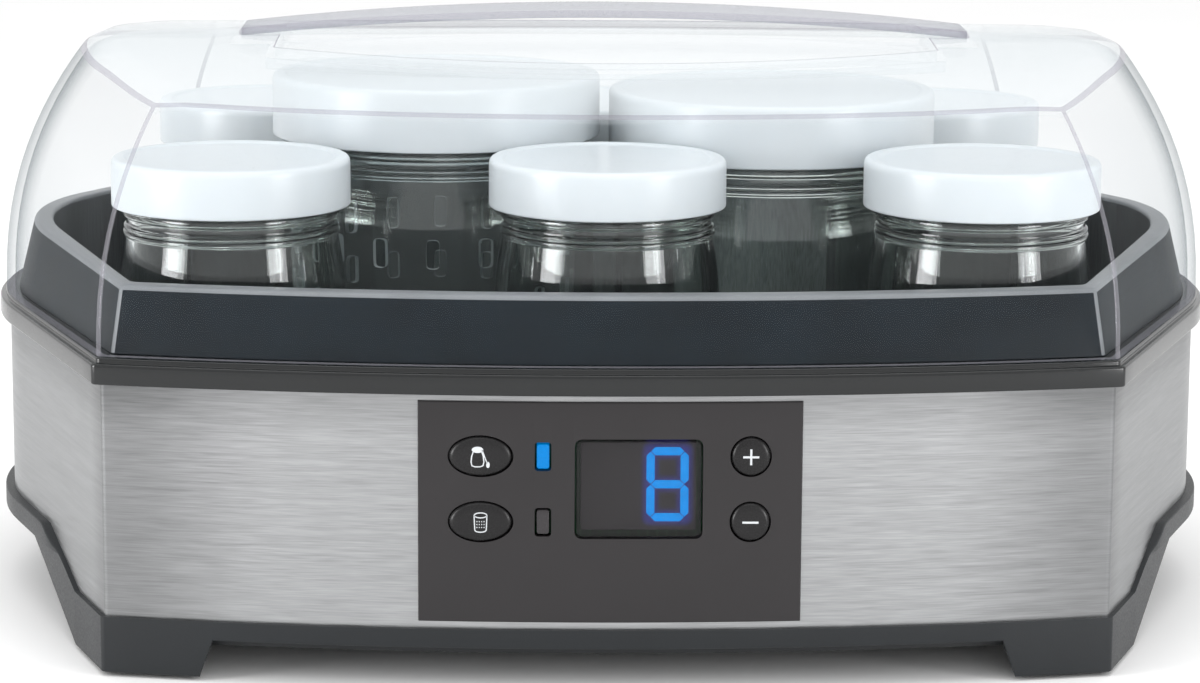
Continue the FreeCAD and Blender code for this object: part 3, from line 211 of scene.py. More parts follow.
class Outline:
    """Plan of the body: bowed front and back, sides of line, arc, line, and four folded corners."""

    def __init__(self, corner_x, corner_y, bow, half_width, side_radius, fold=1.6):
        self.corner_x, self.corner_y, self.bow = corner_x, corner_y, bow
        self.half_width, self.side_radius, self.fold = half_width, side_radius, fold

    def inset(self, distance):
        """The walls move in by the distance, and the slanting corners by less."""
        return Outline(self.corner_x - 0.74 * distance, self.corner_y - 0.87 * distance,
                       self.bow - 0.13 * distance, self.half_width - distance,
                       self.side_radius - distance, self.fold)

    def front_y(self, x, proud=0.0):
        radius = (self.corner_x ** 2 + self.bow ** 2) / (2 * self.bow) + proud
        return radius - proud - math.sqrt(radius ** 2 - x ** 2) - self.corner_y - self.bow

    def tangent_point(self):
        centre = self.half_width - self.side_radius
        across = self.corner_x - centre
        reach = math.hypot(across, self.corner_y)
        angle = math.atan2(self.corner_y, across) - math.acos(self.side_radius / reach)
        return (centre + self.side_radius * math.cos(angle), self.side_radius * math.sin(angle))

    def side_x(self, y):
        tangent_x, tangent_y = self.tangent_point()
        if abs(y) <= tangent_y:
            centre = self.half_width - self.side_radius
            return centre + math.sqrt(self.side_radius ** 2 - y ** 2)
        share = (abs(y) - tangent_y) / (self.corner_y - tangent_y)
        return tangent_x + share * (self.corner_x - tangent_x)

    def quarter(self, scaled):
        """Points from the middle of the front to the middle of the right side."""
        front_scale = self.corner_x / PLAIN_CORNER_X if scaled else 1.0
        side_scale = self.corner_y / PLAIN_CORNER_Y if scaled else 1.0
        corner = Vector((self.corner_x, -self.corner_y))
        tangent_x, tangent_y = self.tangent_point()
        before = Vector((self.corner_x - 1, self.front_y(self.corner_x - 1))) - corner
        after = Vector((tangent_x, -tangent_y)) - corner
        turn = math.pi - before.angle(after)
        setback = self.fold * math.tan(turn / 2)
        start_x = self.corner_x + before.normalized().x * setback
        start = Vector((start_x, self.front_y(start_x)))
        end = corner + after.normalized() * setback
        points = [(x * front_scale, self.front_y(x * front_scale)) for x in FRONT_STATIONS]
        last = points[-1][0]
        for step in range(1, LEAD_STEPS + 1):
            x = last + (start_x - last) * step / LEAD_STEPS
            points.append((x, self.front_y(x)))
        for step in range(1, FOLD_STEPS + 1):
            t = step / FOLD_STEPS
            points.append(tuple(start * (1 - t) ** 2 + corner * (2 * t * (1 - t)) + end * t ** 2))
        first = SIDE_STATIONS[-1] * side_scale
        for step in range(1, LEAD_STEPS + 1):
            y = -end.y + (first + end.y) * step / LEAD_STEPS
            points.append((self.side_x(y), -y))
        for station in reversed(SIDE_STATIONS[:-1]):
            y = station * side_scale
            points.append((self.side_x(y), -y))
        return points

    def points(self, scaled=False):
        return all_round(self.quarter(scaled))


def all_round(quarter):
    """Mirror a front right quarter into the whole loop, counter-clockwise from the front."""
    right_back = [(x, -y) for x, y in reversed(quarter[:-1])]
    left_back = [(-x, -y) for x, y in quarter[1:]]
    left_front = [(-x, y) for x, y in reversed(quarter[1:-1])]
    return quarter + right_back + left_back + left_front


FRONT_COUNT = len(FRONT_STATIONS) + LEAD_STEPS
QUARTER_COUNT = FRONT_COUNT + FOLD_STEPS + LEAD_STEPS + len(SIDE_STATIONS) - 1
LOOP_COUNT = 4 * (QUARTER_COUNT - 1)


def quarter_place(column):
    """Where a loop column falls on the front right quarter."""
    half = 2 * (QUARTER_COUNT - 1)
    place = column % half
    return min(place, half - place)


def on_fold(column):
    """Is the strip from this column to the next one on a folded corner?"""
    first, second = quarter_place(column), quarter_place((column + 1) % LOOP_COUNT)
    start = FRONT_COUNT - 1
    return start <= min(first, second) and max(first, second) <= start + FOLD_STEPS


STEEL = Outline(120.0, 109.5, 12.5, 155.5, 95.0)
TRIM = STEEL.inset(-2.5)


def lerp(first, second, share):
    return tuple(a + (b - a) * share for a, b in zip(first, second))


class Offsets:
    """Loop points at any distance in from the steel's face, found between two loops."""

    def __init__(self, outline, nearest, farthest):
        self.nearest, self.farthest = nearest, farthest
        self.near, self.far = outline.inset(nearest).points(), outline.inset(farthest).points()

    def at(self, column, distance):
        share = (distance - self.nearest) / (self.farthest - self.nearest)
        return lerp(self.near[column], self.far[column], share)


# ---------------------------------------------------------------- materials

class Paint:
    """A node material with one Principled shader and helpers for its patterns."""

    def __init__(self, name, colour, roughness, **values):
        self.material = bpy.data.materials.new(name)
        self.material.use_nodes = True
        self.tree = self.material.node_tree
        self.shader = self.tree.nodes["Principled BSDF"]
        self.output = self.tree.nodes["Material Output"]
        self.colour = colour
        self.shader.inputs["Base Color"].default_value = (*colour, 1)
        self.shader.inputs["Roughness"].default_value = roughness
        for socket, value in values.items():
            self.shader.inputs[socket.replace("_", " ")].default_value = value
        self.coordinates = self.node("ShaderNodeTexCoord").outputs["Object"]

    def node(self, kind, **settings):
        node = self.tree.nodes.new(kind)
        for name, value in settings.items():
            setattr(node, name, value)
        return node

    def link(self, source, target):
        self.tree.links.new(source, target)

    def noise(self, scale, stretch=(1, 1, 1), detail=3.0):
        """Noise in the object's own metres, squeezed along its axes."""
        mapping = self.node("ShaderNodeMapping")
        mapping.inputs["Scale"].default_value = stretch
        self.link(self.coordinates, mapping.inputs["Vector"])
        noise = self.node("ShaderNodeTexNoise")
        noise.inputs["Scale"].default_value = scale
        noise.inputs["Detail"].default_value = detail
        self.link(mapping.outputs["Vector"], noise.inputs["Vector"])
        return noise.outputs["Fac"]

    def mapped(self, source, low, high, source_low=0.3, source_high=0.7, kind="LINEAR"):
        node = self.node("ShaderNodeMapRange", interpolation_type=kind)
        for socket, value in (("From Min", source_low), ("From Max", source_high),
                              ("To Min", low), ("To Max", high)):
            node.inputs[socket].default_value = value
        self.link(source, node.inputs["Value"])
        return node.outputs["Result"]

    def ramp(self, source, places, colours):
        """From one colour to another as the source goes from one place to the other."""
        node = self.node("ShaderNodeValToRGB")
        for element, place, colour in zip(node.color_ramp.elements, places, colours):
            element.position = place
            element.color = (*colour, 1)
        self.link(source, node.inputs["Fac"])
        return node.outputs["Color"]

    def vary_colour(self, source, darker, lighter, painted_shade=None):
        """Base colour between two brightnesses of its own, by a pattern, and dimmed by a painted
        shade factor when one is given.
        """
        colours = [[min(1.0, part * factor) for part in self.colour] for factor in (darker, lighter)]
        colour = self.ramp(source, (0.3, 0.7), colours)
        if painted_shade is not None:
            dimmer = self.node("ShaderNodeHueSaturation")
            self.link(colour, dimmer.inputs["Color"])
            self.link(painted_shade, dimmer.inputs["Value"])
            colour = dimmer.outputs["Color"]
        self.link(colour, self.shader.inputs["Base Color"])

    def vary_roughness(self, source, low, high):
        self.link(self.mapped(source, low, high), self.shader.inputs["Roughness"])

    def bump(self, source, height_mm, strength=1.0):
        node = self.node("ShaderNodeBump")
        node.inputs["Strength"].default_value = strength
        node.inputs["Distance"].default_value = height_mm * MM
        self.link(source, node.inputs["Height"])
        self.link(node.outputs["Normal"], self.shader.inputs["Normal"])

    def calculate(self, operation, first, second=None):
        node = self.node("ShaderNodeMath", operation=operation)
        for socket, value in zip(node.inputs, (first, second)):
            if isinstance(value, (int, float)):
                socket.default_value = value
            elif value is not None:
                self.link(value, socket)
        return node.outputs["Value"]

    def blend(self, first, share, second):
        """The first pattern by its share and the second by the rest."""
        return self.calculate("ADD", self.calculate("MULTIPLY", first, share),
                              self.calculate("MULTIPLY", second, 1 - share))

    def axes(self):
        split = self.node("ShaderNodeSeparateXYZ")
        self.link(self.coordinates, split.inputs["Vector"])
        return split.outputs

    def mix_surface(self, share, first, second):
        """Show the second shader over the first one by a share."""
        mix = self.node("ShaderNodeMixShader")
        for source, socket in zip((share, first.outputs["BSDF"], second.outputs["BSDF"]),
                                  mix.inputs):
            self.link(source, socket)
        self.link(mix.outputs["Shader"], self.output.inputs["Surface"])

    def let_lamps_through(self, share):
        """Shadow rays pass this clear surface, as light does through real thin glass."""
        path = self.node("ShaderNodeLightPath")
        clear = self.node("ShaderNodeBsdfTransparent")
        clear.inputs["Color"].default_value = (share, share, share, 1)
        self.mix_surface(path.outputs["Is Shadow Ray"], self.shader, clear)


def plastic(name, colour, roughness, grain_mm=0.35, height_mm=0.012, spread=0.10, shine=0.38):
    """Moulded plastic: fine grain in height and gloss, and a slow drift of colour."""
    paint = Paint(name, colour, roughness, Specular_IOR_Level=shine)
    grain = paint.noise(1 / (grain_mm * MM), detail=4)
    paint.bump(grain, height_mm)
    paint.vary_roughness(grain, roughness - 0.06, roughness + 0.08)
    paint.vary_colour(paint.noise(60.0), 1 - spread, 1 + spread)
    return paint.material


def brushed_steel():
    """Stainless sheet brushed level all round: thin streaks, and painted shade that darkens it
    toward the folds and in a band under the top edge.
    """
    paint = Paint("brushed_steel", (0.345, 0.35, 0.355), 0.34, Metallic=1.0, Anisotropic=0.6)
    fine = paint.noise(1.0, (110, 110, 3600), detail=2)
    coarse = paint.noise(1.0, (35, 35, 900), detail=3)
    both = paint.blend(fine, 0.6, coarse)
    # Painted shade: by position, the colour dims toward the front corner folds, less past them on
    # the sides, and in a painted shadow just under the trim along the top edge.
    axes = paint.axes()
    across = paint.calculate("ABSOLUTE", axes["X"])
    front = paint.mapped(across, 1.0, 0.60, 0.075, 0.119, "SMOOTHSTEP")
    side = paint.mapped(across, 0.0, 0.24, 0.119, 0.124)
    top = paint.mapped(axes["Z"], 0.0, -0.22, 0.058, 0.071, "SMOOTHSTEP")
    painted_shade = paint.calculate("ADD", paint.calculate("ADD", front, side), top)
    paint.vary_colour(both, 0.80, 1.17, painted_shade)
    paint.vary_roughness(fine, 0.28, 0.44)
    paint.bump(both, 0.010)
    tangent = paint.node("ShaderNodeTangent", direction_type="RADIAL", axis="Z")
    paint.link(tangent.outputs["Tangent"], paint.shader.inputs["Tangent"])
    return paint.material


def metal(name, colour, roughness, grain_mm=0.4):
    paint = Paint(name, colour, roughness, Metallic=1.0)
    grain = paint.noise(1 / (grain_mm * MM), detail=4)
    paint.vary_roughness(grain, roughness - 0.08, roughness + 0.1)
    paint.vary_colour(paint.noise(120.0), 0.9, 1.08)
    paint.bump(grain, 0.006)
    return paint.material


def tub_lining():
    """The tub's inside: dark metallic, with short upright hairlines and a soft drift of brightness.
    """
    paint = Paint("tub_lining", (0.125, 0.132, 0.138), 0.36, Metallic=0.75, Anisotropic=0.3)
    hairs = paint.noise(1.0, (2600, 2600, 90), detail=2)
    drift = paint.noise(1.0, (38, 38, 6), detail=2)
    paint.vary_colour(paint.blend(hairs, 0.45, drift), 0.35, 1.9)
    paint.vary_roughness(hairs, 0.30, 0.48)
    paint.bump(hairs, 0.008)
    return paint.material


def clear_sheet(name, tint, slant_tint, gloss_colour, most, least, roughness=0.05):
    """Clear plastic: see-through face on, denser and glossier at a slant, faint handling marks."""
    paint = Paint(name, gloss_colour, roughness)
    paint.vary_roughness(paint.noise(25.0, detail=5), roughness * 0.6, roughness * 1.8)
    facing = paint.node("ShaderNodeLayerWeight")
    facing.inputs["Blend"].default_value = 0.5
    clear = paint.node("ShaderNodeBsdfTransparent")
    paint.link(paint.ramp(facing.outputs["Facing"], (0.70, 0.96), (tint, slant_tint)),
               clear.inputs["Color"])
    # At a slant the shader in gloss_colour shows over the clear one; on the lid's top and recess
    # that pale gloss_colour is a painted sheen.
    slant = paint.calculate("POWER", facing.outputs["Facing"], 4.0)
    paint.mix_surface(paint.mapped(slant, least, most, 0.0, 1.0), clear, paint.shader)
    return paint.material


def jar_glass():
    paint = Paint("jar_glass", (0.90, 0.94, 0.92), 0.02, Transmission_Weight=1.0, IOR=1.5)
    waves = paint.noise(60.0, (1, 1, 0.25), detail=1)
    paint.bump(waves, 0.30, 0.35)
    paint.vary_roughness(paint.noise(300.0), 0.0, 0.03)
    paint.let_lamps_through(0.86)
    return paint.material


def cap_plastic():
    paint = Paint("cap_white", (0.63, 0.67, 0.695), 0.32, Coat_Weight=0.15,
                  Subsurface_Weight=0.15, Subsurface_Scale=0.004)
    paint.shader.inputs["Subsurface Radius"].default_value = (1.0, 0.9, 0.8)
    grain = paint.noise(2200.0, detail=4)
    paint.bump(grain, 0.006)
    paint.vary_roughness(grain, 0.26, 0.40)
    paint.vary_colour(paint.noise(90.0), 0.985, 1.015)
    return paint.material


def glowing(name, colour, strength):
    """A lit part whose brightness varies a little by a soft pattern."""
    paint = Paint(name, [part * 0.4 for part in colour], 0.25, Specular_IOR_Level=0.15)
    paint.shader.inputs["Emission Color"].default_value = (*colour, 1)
    paint.link(paint.mapped(paint.noise(900.0), strength * 0.9, strength * 1.1),
               paint.shader.inputs["Emission Strength"])
    paint.vary_roughness(paint.noise(2500.0), 0.2, 0.32)
    return paint.material


BLUE = (0.0, 0.27, 0.78)
GLOW = (0.04, 0.04, 0.60)


def display_plastic(digit_low, digit_high, stroke):
    """The display's dark front, with a violet glow that fades away from the lit bars."""
    paint = Paint("display", (0.078, 0.073, 0.074), 0.4, Specular_IOR_Level=0.2)
    axes = paint.axes()
    calc = paint.calculate
    past = []
    for axis, low, high in zip("XZ", digit_low, digit_high):
        place = calc("ABSOLUTE", calc("SUBTRACT", axes[axis], (low + high) / 2))
        past.append((place, calc("SUBTRACT", place, (high - low - stroke) / 2)))
    (_, past_x), (rise, past_z) = past
    inside = calc("MINIMUM", calc("MAXIMUM", past_x, past_z), 0.0)
    out_x, out_z = (calc("MAXIMUM", side, 0.0) for side in (past_x, past_z))
    outside = calc("SQRT", calc("ADD", calc("POWER", out_x, 2.0), calc("POWER", out_z, 2.0)))
    frame_distance = calc("ABSOLUTE", calc("ADD", inside, outside))
    nearest = calc("MINIMUM", frame_distance, calc("ADD", rise, out_x))
    glow = paint.mapped(nearest, 0.45, 0.0, stroke * 0.45, stroke * 1.25)
    paint.shader.inputs["Emission Color"].default_value = (*GLOW, 1)
    paint.link(glow, paint.shader.inputs["Emission Strength"])
    grain = paint.noise(2500.0)
    paint.vary_colour(grain, 0.95, 1.05)
    paint.bump(grain, 0.001)
    return paint.material


def board_green():
    """Circuit board: solder mask with slightly darker, raised tracks."""
    paint = Paint("circuit_board", (0.02, 0.12, 0.045), 0.35)
    tracks = paint.node("ShaderNodeTexBrick")
    tracks.inputs["Scale"].default_value = 220.0
    tracks.inputs["Mortar Size"].default_value = 0.03
    tracks.inputs["Color1"].default_value = (0.018, 0.11, 0.04, 1)
    tracks.inputs["Color2"].default_value = (0.022, 0.13, 0.05, 1)
    tracks.inputs["Mortar"].default_value = (0.05, 0.22, 0.08, 1)
    paint.link(paint.coordinates, tracks.inputs["Vector"])
    paint.link(tracks.outputs["Color"], paint.shader.inputs["Base Color"])
    paint.bump(tracks.outputs["Fac"], 0.03)
    return paint.material


MATERIALS = {
    "housing": plastic("housing_black", (0.007, 0.009, 0.011), 0.42, 0.5, 0.020),
    "trim": plastic("trim_black", (0.005, 0.006, 0.0065), 0.17, 0.5, 0.004, shine=0.48),
    "rubber": plastic("foot_rubber", (0.012, 0.012, 0.013), 0.75, 0.6, 0.03),
    "tub": plastic("tub_collar", (0.004, 0.008, 0.012), 0.42, 0.5, 0.002, 0.25, 0.22),
    # Painted reflection: a lighter grey for the tub's rim and the collar's corner folds, standing in
    # for the bright surroundings they reflect.
    "tub_rim_painted_sheen": plastic("tub_rim_painted_sheen", (0.19, 0.20, 0.21), 0.34, 0.4, 0.002),
    "tub_inside": tub_lining(),
    "panel": plastic("panel_grey", (0.016, 0.014, 0.015), 0.34, 0.5, 0.004, 0.05),
    "button": plastic("button_grey", (0.012, 0.0115, 0.012), 0.26, 0.5, 0.006, shine=0.24),
    "print": plastic("symbol_white", (0.56, 0.58, 0.60), 0.5, 0.3, 0.004, 0.04),
    "unlit": plastic("unlit_lens", (0.028, 0.025, 0.027), 0.22, 0.4, 0.004),
    "lit": glowing("lit_lens", BLUE, 0.38),
    "digit": glowing("lit_digit", BLUE, 1.8),
    "steel": brushed_steel(),
    "cap": cap_plastic(),
    "glass": jar_glass(),
    "lid": clear_sheet("lid_clear", (0.975, 0.980, 0.983), (0.70, 0.72, 0.73), (0.20, 0.21, 0.22),
                       0.07, 0.010),
    # Painted sheen: the lid's top, and less so its recess, get a pale layer at a slant that stands
    # in for the bright surroundings they reflect.
    "lid_top": clear_sheet("lid_top", (0.980, 0.985, 0.988), (0.91, 0.93, 0.94), (0.64, 0.68, 0.70),
                           0.78, 0.010),
    "lid_recess": clear_sheet("lid_recess", (0.985, 0.990, 0.992), (0.97, 0.98, 0.985),
                              (0.84, 0.87, 0.89), 0.42, 0.010),
    # Painted shade: a grey-lilac band for the lid's creases, folds, recess lip and foot, and the
    # handle's edges, standing in for the light a bent clear sheet refracts.
    "lid_edge": clear_sheet("lid_edge", (0.70, 0.695, 0.73), (0.58, 0.57, 0.61), (0.52, 0.51, 0.56),
                            0.50, 0.22),
    "handle": clear_sheet("handle_clear", (0.90, 0.91, 0.92), (0.74, 0.76, 0.78),
                          (0.66, 0.68, 0.70), 0.45, 0.08),
    "window": clear_sheet("window_smoke", (0.90, 0.90, 0.91), (0.8, 0.8, 0.8),
                          (0.022, 0.020, 0.021), 0.60, 0.24, 0.28),
    "board": board_green(),
    "component": plastic("component_black", (0.025, 0.025, 0.028), 0.5),
    "relay": plastic("relay_blue", (0.03, 0.10, 0.35), 0.4),
    "ribbon": plastic("ribbon_grey", (0.42, 0.43, 0.45), 0.5),
    "aluminium": metal("heater_aluminium", (0.72, 0.73, 0.74), 0.36),
    "zinc": metal("screw_zinc", (0.62, 0.61, 0.58), 0.3, 0.2),
    "strainer": clear_sheet("strainer_clear", (0.80, 0.82, 0.83), (0.5, 0.52, 0.53),
                            (0.7, 0.72, 0.73), 0.65, 0.06, 0.12),
    # Painted highlight: a lighter grey for the strainer's slot walls, standing in for the light that
    # their cut edges catch.
    "slot_edge": plastic("strainer_slot_edge", (0.50, 0.52, 0.54), 0.3),
}


# ---------------------------------------------------------------- housing

BOX = {name: [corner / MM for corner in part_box(name)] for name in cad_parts}
LEDGE, LIP_LOW, LIP_HIGH = 14.7, 20.3, 25.5
LIP_HALF, RISER_HALF = 60.0, 87.0
GAP_HALF_TOP, GAP_HALF_FOOT = 46.0, 86.5
SKIRT_LOW, LEG_LOW = 10.0, 1.0
FRONT_GAP_TOP, FRONT_GAP_FOOT = 94.0, 97.3
LEG_PROUD, LIP_PROUD, WALL_INSET = 1.2, 2.3, 5.0


def slope_between(value, first, second, low, high):
    share = max(0.0, min(1.0, (value - first) / (second - first)))
    return low + (high - low) * share


def is_side(column):
    return quarter_place(column) >= FRONT_COUNT


def wall_heights(column, x, y):
    """Bottom and top of the black wall where the loop column stands."""
    if is_side(column):
        return (slope_between(abs(y), GAP_HALF_TOP, GAP_HALF_FOOT, LIP_LOW, LEG_LOW),
                slope_between(abs(y), LIP_HALF, RISER_HALF, LIP_HIGH, LEDGE))
    return slope_between(abs(x), FRONT_GAP_TOP, FRONT_GAP_FOOT, SKIRT_LOW, LEG_LOW), LEDGE


def housing_section(column, plan):
    low, high = wall_heights(column, *plan)
    step = max(low, min(LIP_LOW, high))
    emerge = max(0.0, min(1.0, (high - LIP_LOW) / 3.0))
    lip = LEG_PROUD + (LIP_PROUD - LEG_PROUD) * emerge ** 2 * (3 - 2 * emerge)
    corners = [(WALL_INSET, low), (-LEG_PROUD, low), (-LEG_PROUD, step), (-lip, step), (-lip, high),
               (WALL_INSET, high)]
    return soften(corners, (0.4, 0.7, 0.3, 0.5, 0.55, 0.2), 3, closed=True)


def rows_from_sections(offsets, section_of):
    columns = []
    for column in range(LOOP_COUNT):
        section = section_of(column, offsets.near[column])
        columns.append([(*offsets.at(column, distance), height) for distance, height in section])
    return [list(row) for row in zip(*columns)]


def add_finger_well(shape, sign):
    """Ceiling and back wall of the hand hollow under one lip."""
    section = [(4.2, LIP_LOW + 0.1), (17.0, LIP_LOW + 0.1), (17.0, 9.9), (19.5, 9.9),
               (19.5, 22.5), (4.2, 22.5)]
    soft = soften(section, (0, 1.2, 0.3, 0.3, 1.5, 0), 3, closed=True)
    rows = []
    for station in range(-22, 23):
        y = station * 89.0 / 22
        rows.append([(sign * STEEL.inset(distance).side_x(y), y, height)
                     for distance, height in soft])
    shape.rows(rows, ends=0)


def shrunk(plan, centre, factor):
    """A plan drawn in toward a centre."""
    return [tuple(c + (a - c) * factor for a, c in zip(point, centre)) for point in plan]


def add_leg_block(shape, sign_x, sign_y):
    """The thick foot of one leg, with its lower edges eased."""
    plan = [(98, 89), (98, 112.6), (118, 108.2), (126, 89)]
    centre = (110.0, 100.0)
    rows = []
    for shrink, height in ((0.97, 1.25), (1.0, 1.9), (1.0, 12.7)):
        rows.append([(sign_x * x, sign_y * y, height) for x, y in shrunk(plan, centre, shrink)])
    shape.rows(rows, ends=0)


CORNERS = [(-1, -1), (-1, 1), (1, -1), (1, 1)]


def make_housing():
    shape = Shape()
    offsets = Offsets(STEEL, -LIP_PROUD, WALL_INSET)
    shape.rows(rows_from_sections(offsets, housing_section), ring=True)
    for sign in (-1, 1):
        add_finger_well(shape, sign)
        for sign_y in (-1, 1):
            add_leg_block(shape, sign, sign_y)
    piece_from("housing_moulding", shape, ["housing"], "base", ["base_housing"],
               28)


def make_feet():
    """Four ribbed rubber pads."""
    shape = Shape()
    plan = [(100.0, 93.0), (100.0, 110.5), (116.5, 106.5), (122.0, 93.0)]
    centre = (109.5, 100.5)
    for sign_x, sign_y in CORNERS:
        loops = []
        for shrink, height in ((0.45, 0.35), (0.60, 0.0), (0.93, 0.0), (1.0, 0.35), (1.0, 1.3)):
            soft = soften(shrunk(plan, centre, shrink), [1.6] * 4, 4, closed=True)
            loops.append([(sign_x * x, sign_y * y, height) for x, y in soft])
        shape.rows(loops, ends=0)
    piece_from("foot_pads", shape, ["rubber"], "base", ["rubber_feet"])


# ---------------------------------------------------------------- steel and trim

STEEL_TOP, STEEL_THICKNESS = 71.2, 0.8
TRIM_SHOULDER, TRIM_TOP = 76.2, 77.4
PANEL_HALF, PANEL_LOW, PANEL_HIGH = 45.1, 16.5, 69.5
GLAND_HOLE = 5.6
GLAND_HEIGHT = 27.0


def make_steel():
    """One folded sheet: notched over the side lips, open behind the panel and at the gland."""
    outer, inner = STEEL.points(), STEEL.inset(STEEL_THICKNESS).points()
    levels = sorted({LEDGE, PANEL_LOW + 1.5, GLAND_HEIGHT - GLAND_HOLE, GLAND_HEIGHT + GLAND_HOLE,
                     42.0, 55.0, PANEL_HIGH - 1.5, STEEL_TOP - 0.4, STEEL_TOP})
    shares = [(level - LEDGE) / (STEEL_TOP - LEDGE) for level in levels]
    shape = Shape()

    def grid(loop):
        rows = []
        for share in shares:
            row = []
            for column, (x, y) in enumerate(loop):
                low = wall_heights(column, *outer[column])[1]
                row.append((x, y, low + (STEEL_TOP - low) * share))
            rows.append(row)
        return [shape.add(row) for row in rows]

    faces_out, faces_in = grid(outer), grid(inner)

    def present(row, column):
        if not (0 <= row < len(levels) - 1):
            return False
        following = (column + 1) % LOOP_COUNT
        (x0, y0), (x1, _) = outer[column], outer[following]
        middle_x, middle_z = (x0 + x1) / 2, (levels[row] + levels[row + 1]) / 2
        in_panel = (y0 < 0 and abs(middle_x) < PANEL_HALF - 1.5
                    and PANEL_LOW + 1.5 < middle_z < PANEL_HIGH - 1.5)
        in_gland = (y0 > 0 and abs(middle_x) < GLAND_HOLE
                    and abs(middle_z - GLAND_HEIGHT) < GLAND_HOLE)
        return is_side(column) or not (in_panel or in_gland)

    for row in range(len(levels) - 1):
        for column in range(LOOP_COUNT):
            if not present(row, column):
                continue
            right = (column + 1) % LOOP_COUNT
            shape.face((faces_out[row][column], faces_out[row][right],
                        faces_out[row + 1][right], faces_out[row + 1][column]))
            shape.face((faces_in[row][right], faces_in[row][column],
                        faces_in[row + 1][column], faces_in[row + 1][right]))
            edges = (((row - 1, column), (row, column), (row, right)),
                     ((row + 1, column), (row + 1, right), (row + 1, column)),
                     ((row, (column - 1) % LOOP_COUNT), (row + 1, column), (row, column)),
                     ((row, right), (row, right), (row + 1, right)))
            for neighbour, start, end in edges:
                if not present(*neighbour):
                    shape.face((faces_out[start[0]][start[1]], faces_out[end[0]][end[1]],
                                faces_in[end[0]][end[1]], faces_in[start[0]][start[1]]))
    piece_from("steel_wrap", shape, ["steel"], "base", ["steel_front", "steel_back",
               "steel_left", "steel_right"])


def make_trim():
    corners = [(8.0, STEEL_TOP), (0.0, STEEL_TOP), (0.0, TRIM_SHOULDER), (1.4, TRIM_SHOULDER),
               (1.4, TRIM_TOP), (8.0, TRIM_TOP)]
    section = soften(corners, (0.3, 0.5, 0.8, 0.3, 0.5, 0.4), 4, closed=True)
    shape = Shape()
    shape.rows(rows_from_sections(Offsets(TRIM, 0.0, 8.0), lambda column, plan: section), ring=True)
    piece_from("trim_moulding", shape, ["trim"], "base", ["trim_ring"], 40)


# ---------------------------------------------------------------- tub

TUB_FLOOR, TUB_WALL = 34.0, 2.5
RIM_HEIGHT, RIM_SIDE_HEIGHT = 92.8, 95.7
COLLAR_FOOT = Outline(117.8, 105.4, 13.2, 153.2, 90.0, 1.3)
COLLAR_BRIM = Outline(115.7, 97.5, 13.2, 148.4, 90.0, 1.3)
BRIM_LEVEL = RIM_SIDE_HEIGHT + 1


def cavity(height, extra=0.0):
    share = (height - TUB_FLOOR) / (RIM_SIDE_HEIGHT - TUB_FLOOR)
    outline = Outline(113.0 + 1.2 * share, 88.0 + 5.7 * share, 10.5 + 2.4 * share,
                      143.5 + 0.5 * share, 84.0, 4.0)
    return outline.inset(-extra)


def rim_height(x):
    slope = (RIM_SIDE_HEIGHT - RIM_HEIGHT) / (COLLAR_BRIM.half_width - COLLAR_BRIM.corner_x)
    return RIM_HEIGHT + slope * max(0.0, abs(x) - COLLAR_BRIM.corner_x)


COLLAR_ROW, RIM_ROW, INSIDE_ROW = 20, 21, 30


def tub_paint(row, column):
    """Dark collar; the rim and the collar's corner lines in a lighter grey, a painted reflection;
    brushed inside.
    """
    if row >= INSIDE_ROW:
        return 2
    return 1 if row >= RIM_ROW or (row == COLLAR_ROW and on_fold(column)) else 0


def make_tub():
    foot, brim = COLLAR_FOOT.points(True), COLLAR_BRIM.points(True)
    inner_low, inner_high = cavity(TUB_FLOOR).points(True), cavity(BRIM_LEVEL).points(True)
    outer_low = cavity(TUB_FLOOR - TUB_WALL, TUB_WALL).points(True)
    outer_high = cavity(TRIM_TOP, TUB_WALL).points(True)
    underside = TUB_FLOOR - TUB_WALL
    columns = []
    for column in range(LOOP_COUNT):
        rim = rim_height(brim[column][0])
        collar = lerp(foot[column], brim[column], (rim - TRIM_TOP) / (BRIM_LEVEL - TRIM_TOP))
        mouth = lerp(inner_low[column], inner_high[column],
                     (rim - TUB_FLOOR) / (BRIM_LEVEL - TUB_FLOOR))
        (low_x, low_y), (floor_x, floor_y) = outer_low[column], inner_low[column]
        ledge = lerp(outer_high[column], foot[column], 0.4)
        path = [(low_x * 0.3, low_y * 0.3, underside), (low_x, low_y, underside),
                (*outer_high[column], TRIM_TOP - 0.6), (*ledge, TRIM_TOP),
                (*foot[column], TRIM_TOP), (*collar, rim), (*mouth, rim),
                (floor_x, floor_y, TUB_FLOOR), (floor_x * 0.3, floor_y * 0.3, TUB_FLOOR)]
        columns.append(soften(path, (0, 4.0, 0.2, 0.2, 0.3, 1.1, 1.0, 5.0, 0), 4))
    shape = Shape()
    indices = shape.rows([list(row) for row in zip(*columns)], paint=tub_paint)
    shape.face(indices[0])
    shape.face(indices[-1], 2)
    boss = [(1.5, underside + 0.5), (1.5, 10.0), (1.8, 9.9), (4.2, 9.9), (4.5, 10.2), (4.5, 29.5),
            (6.0, underside + 0.5)]
    for sign_x, sign_y in CORNERS:
        lathe(shape, boss, (85.0 * sign_x, 62.0 * sign_y, 0), 32, ring=True)
    materials = ["tub", "tub_rim_painted_sheen", "tub_inside"]
    piece_from("tub_moulding", shape, materials, "base", ["inner_tub"], 34)


# ---------------------------------------------------------------- lid

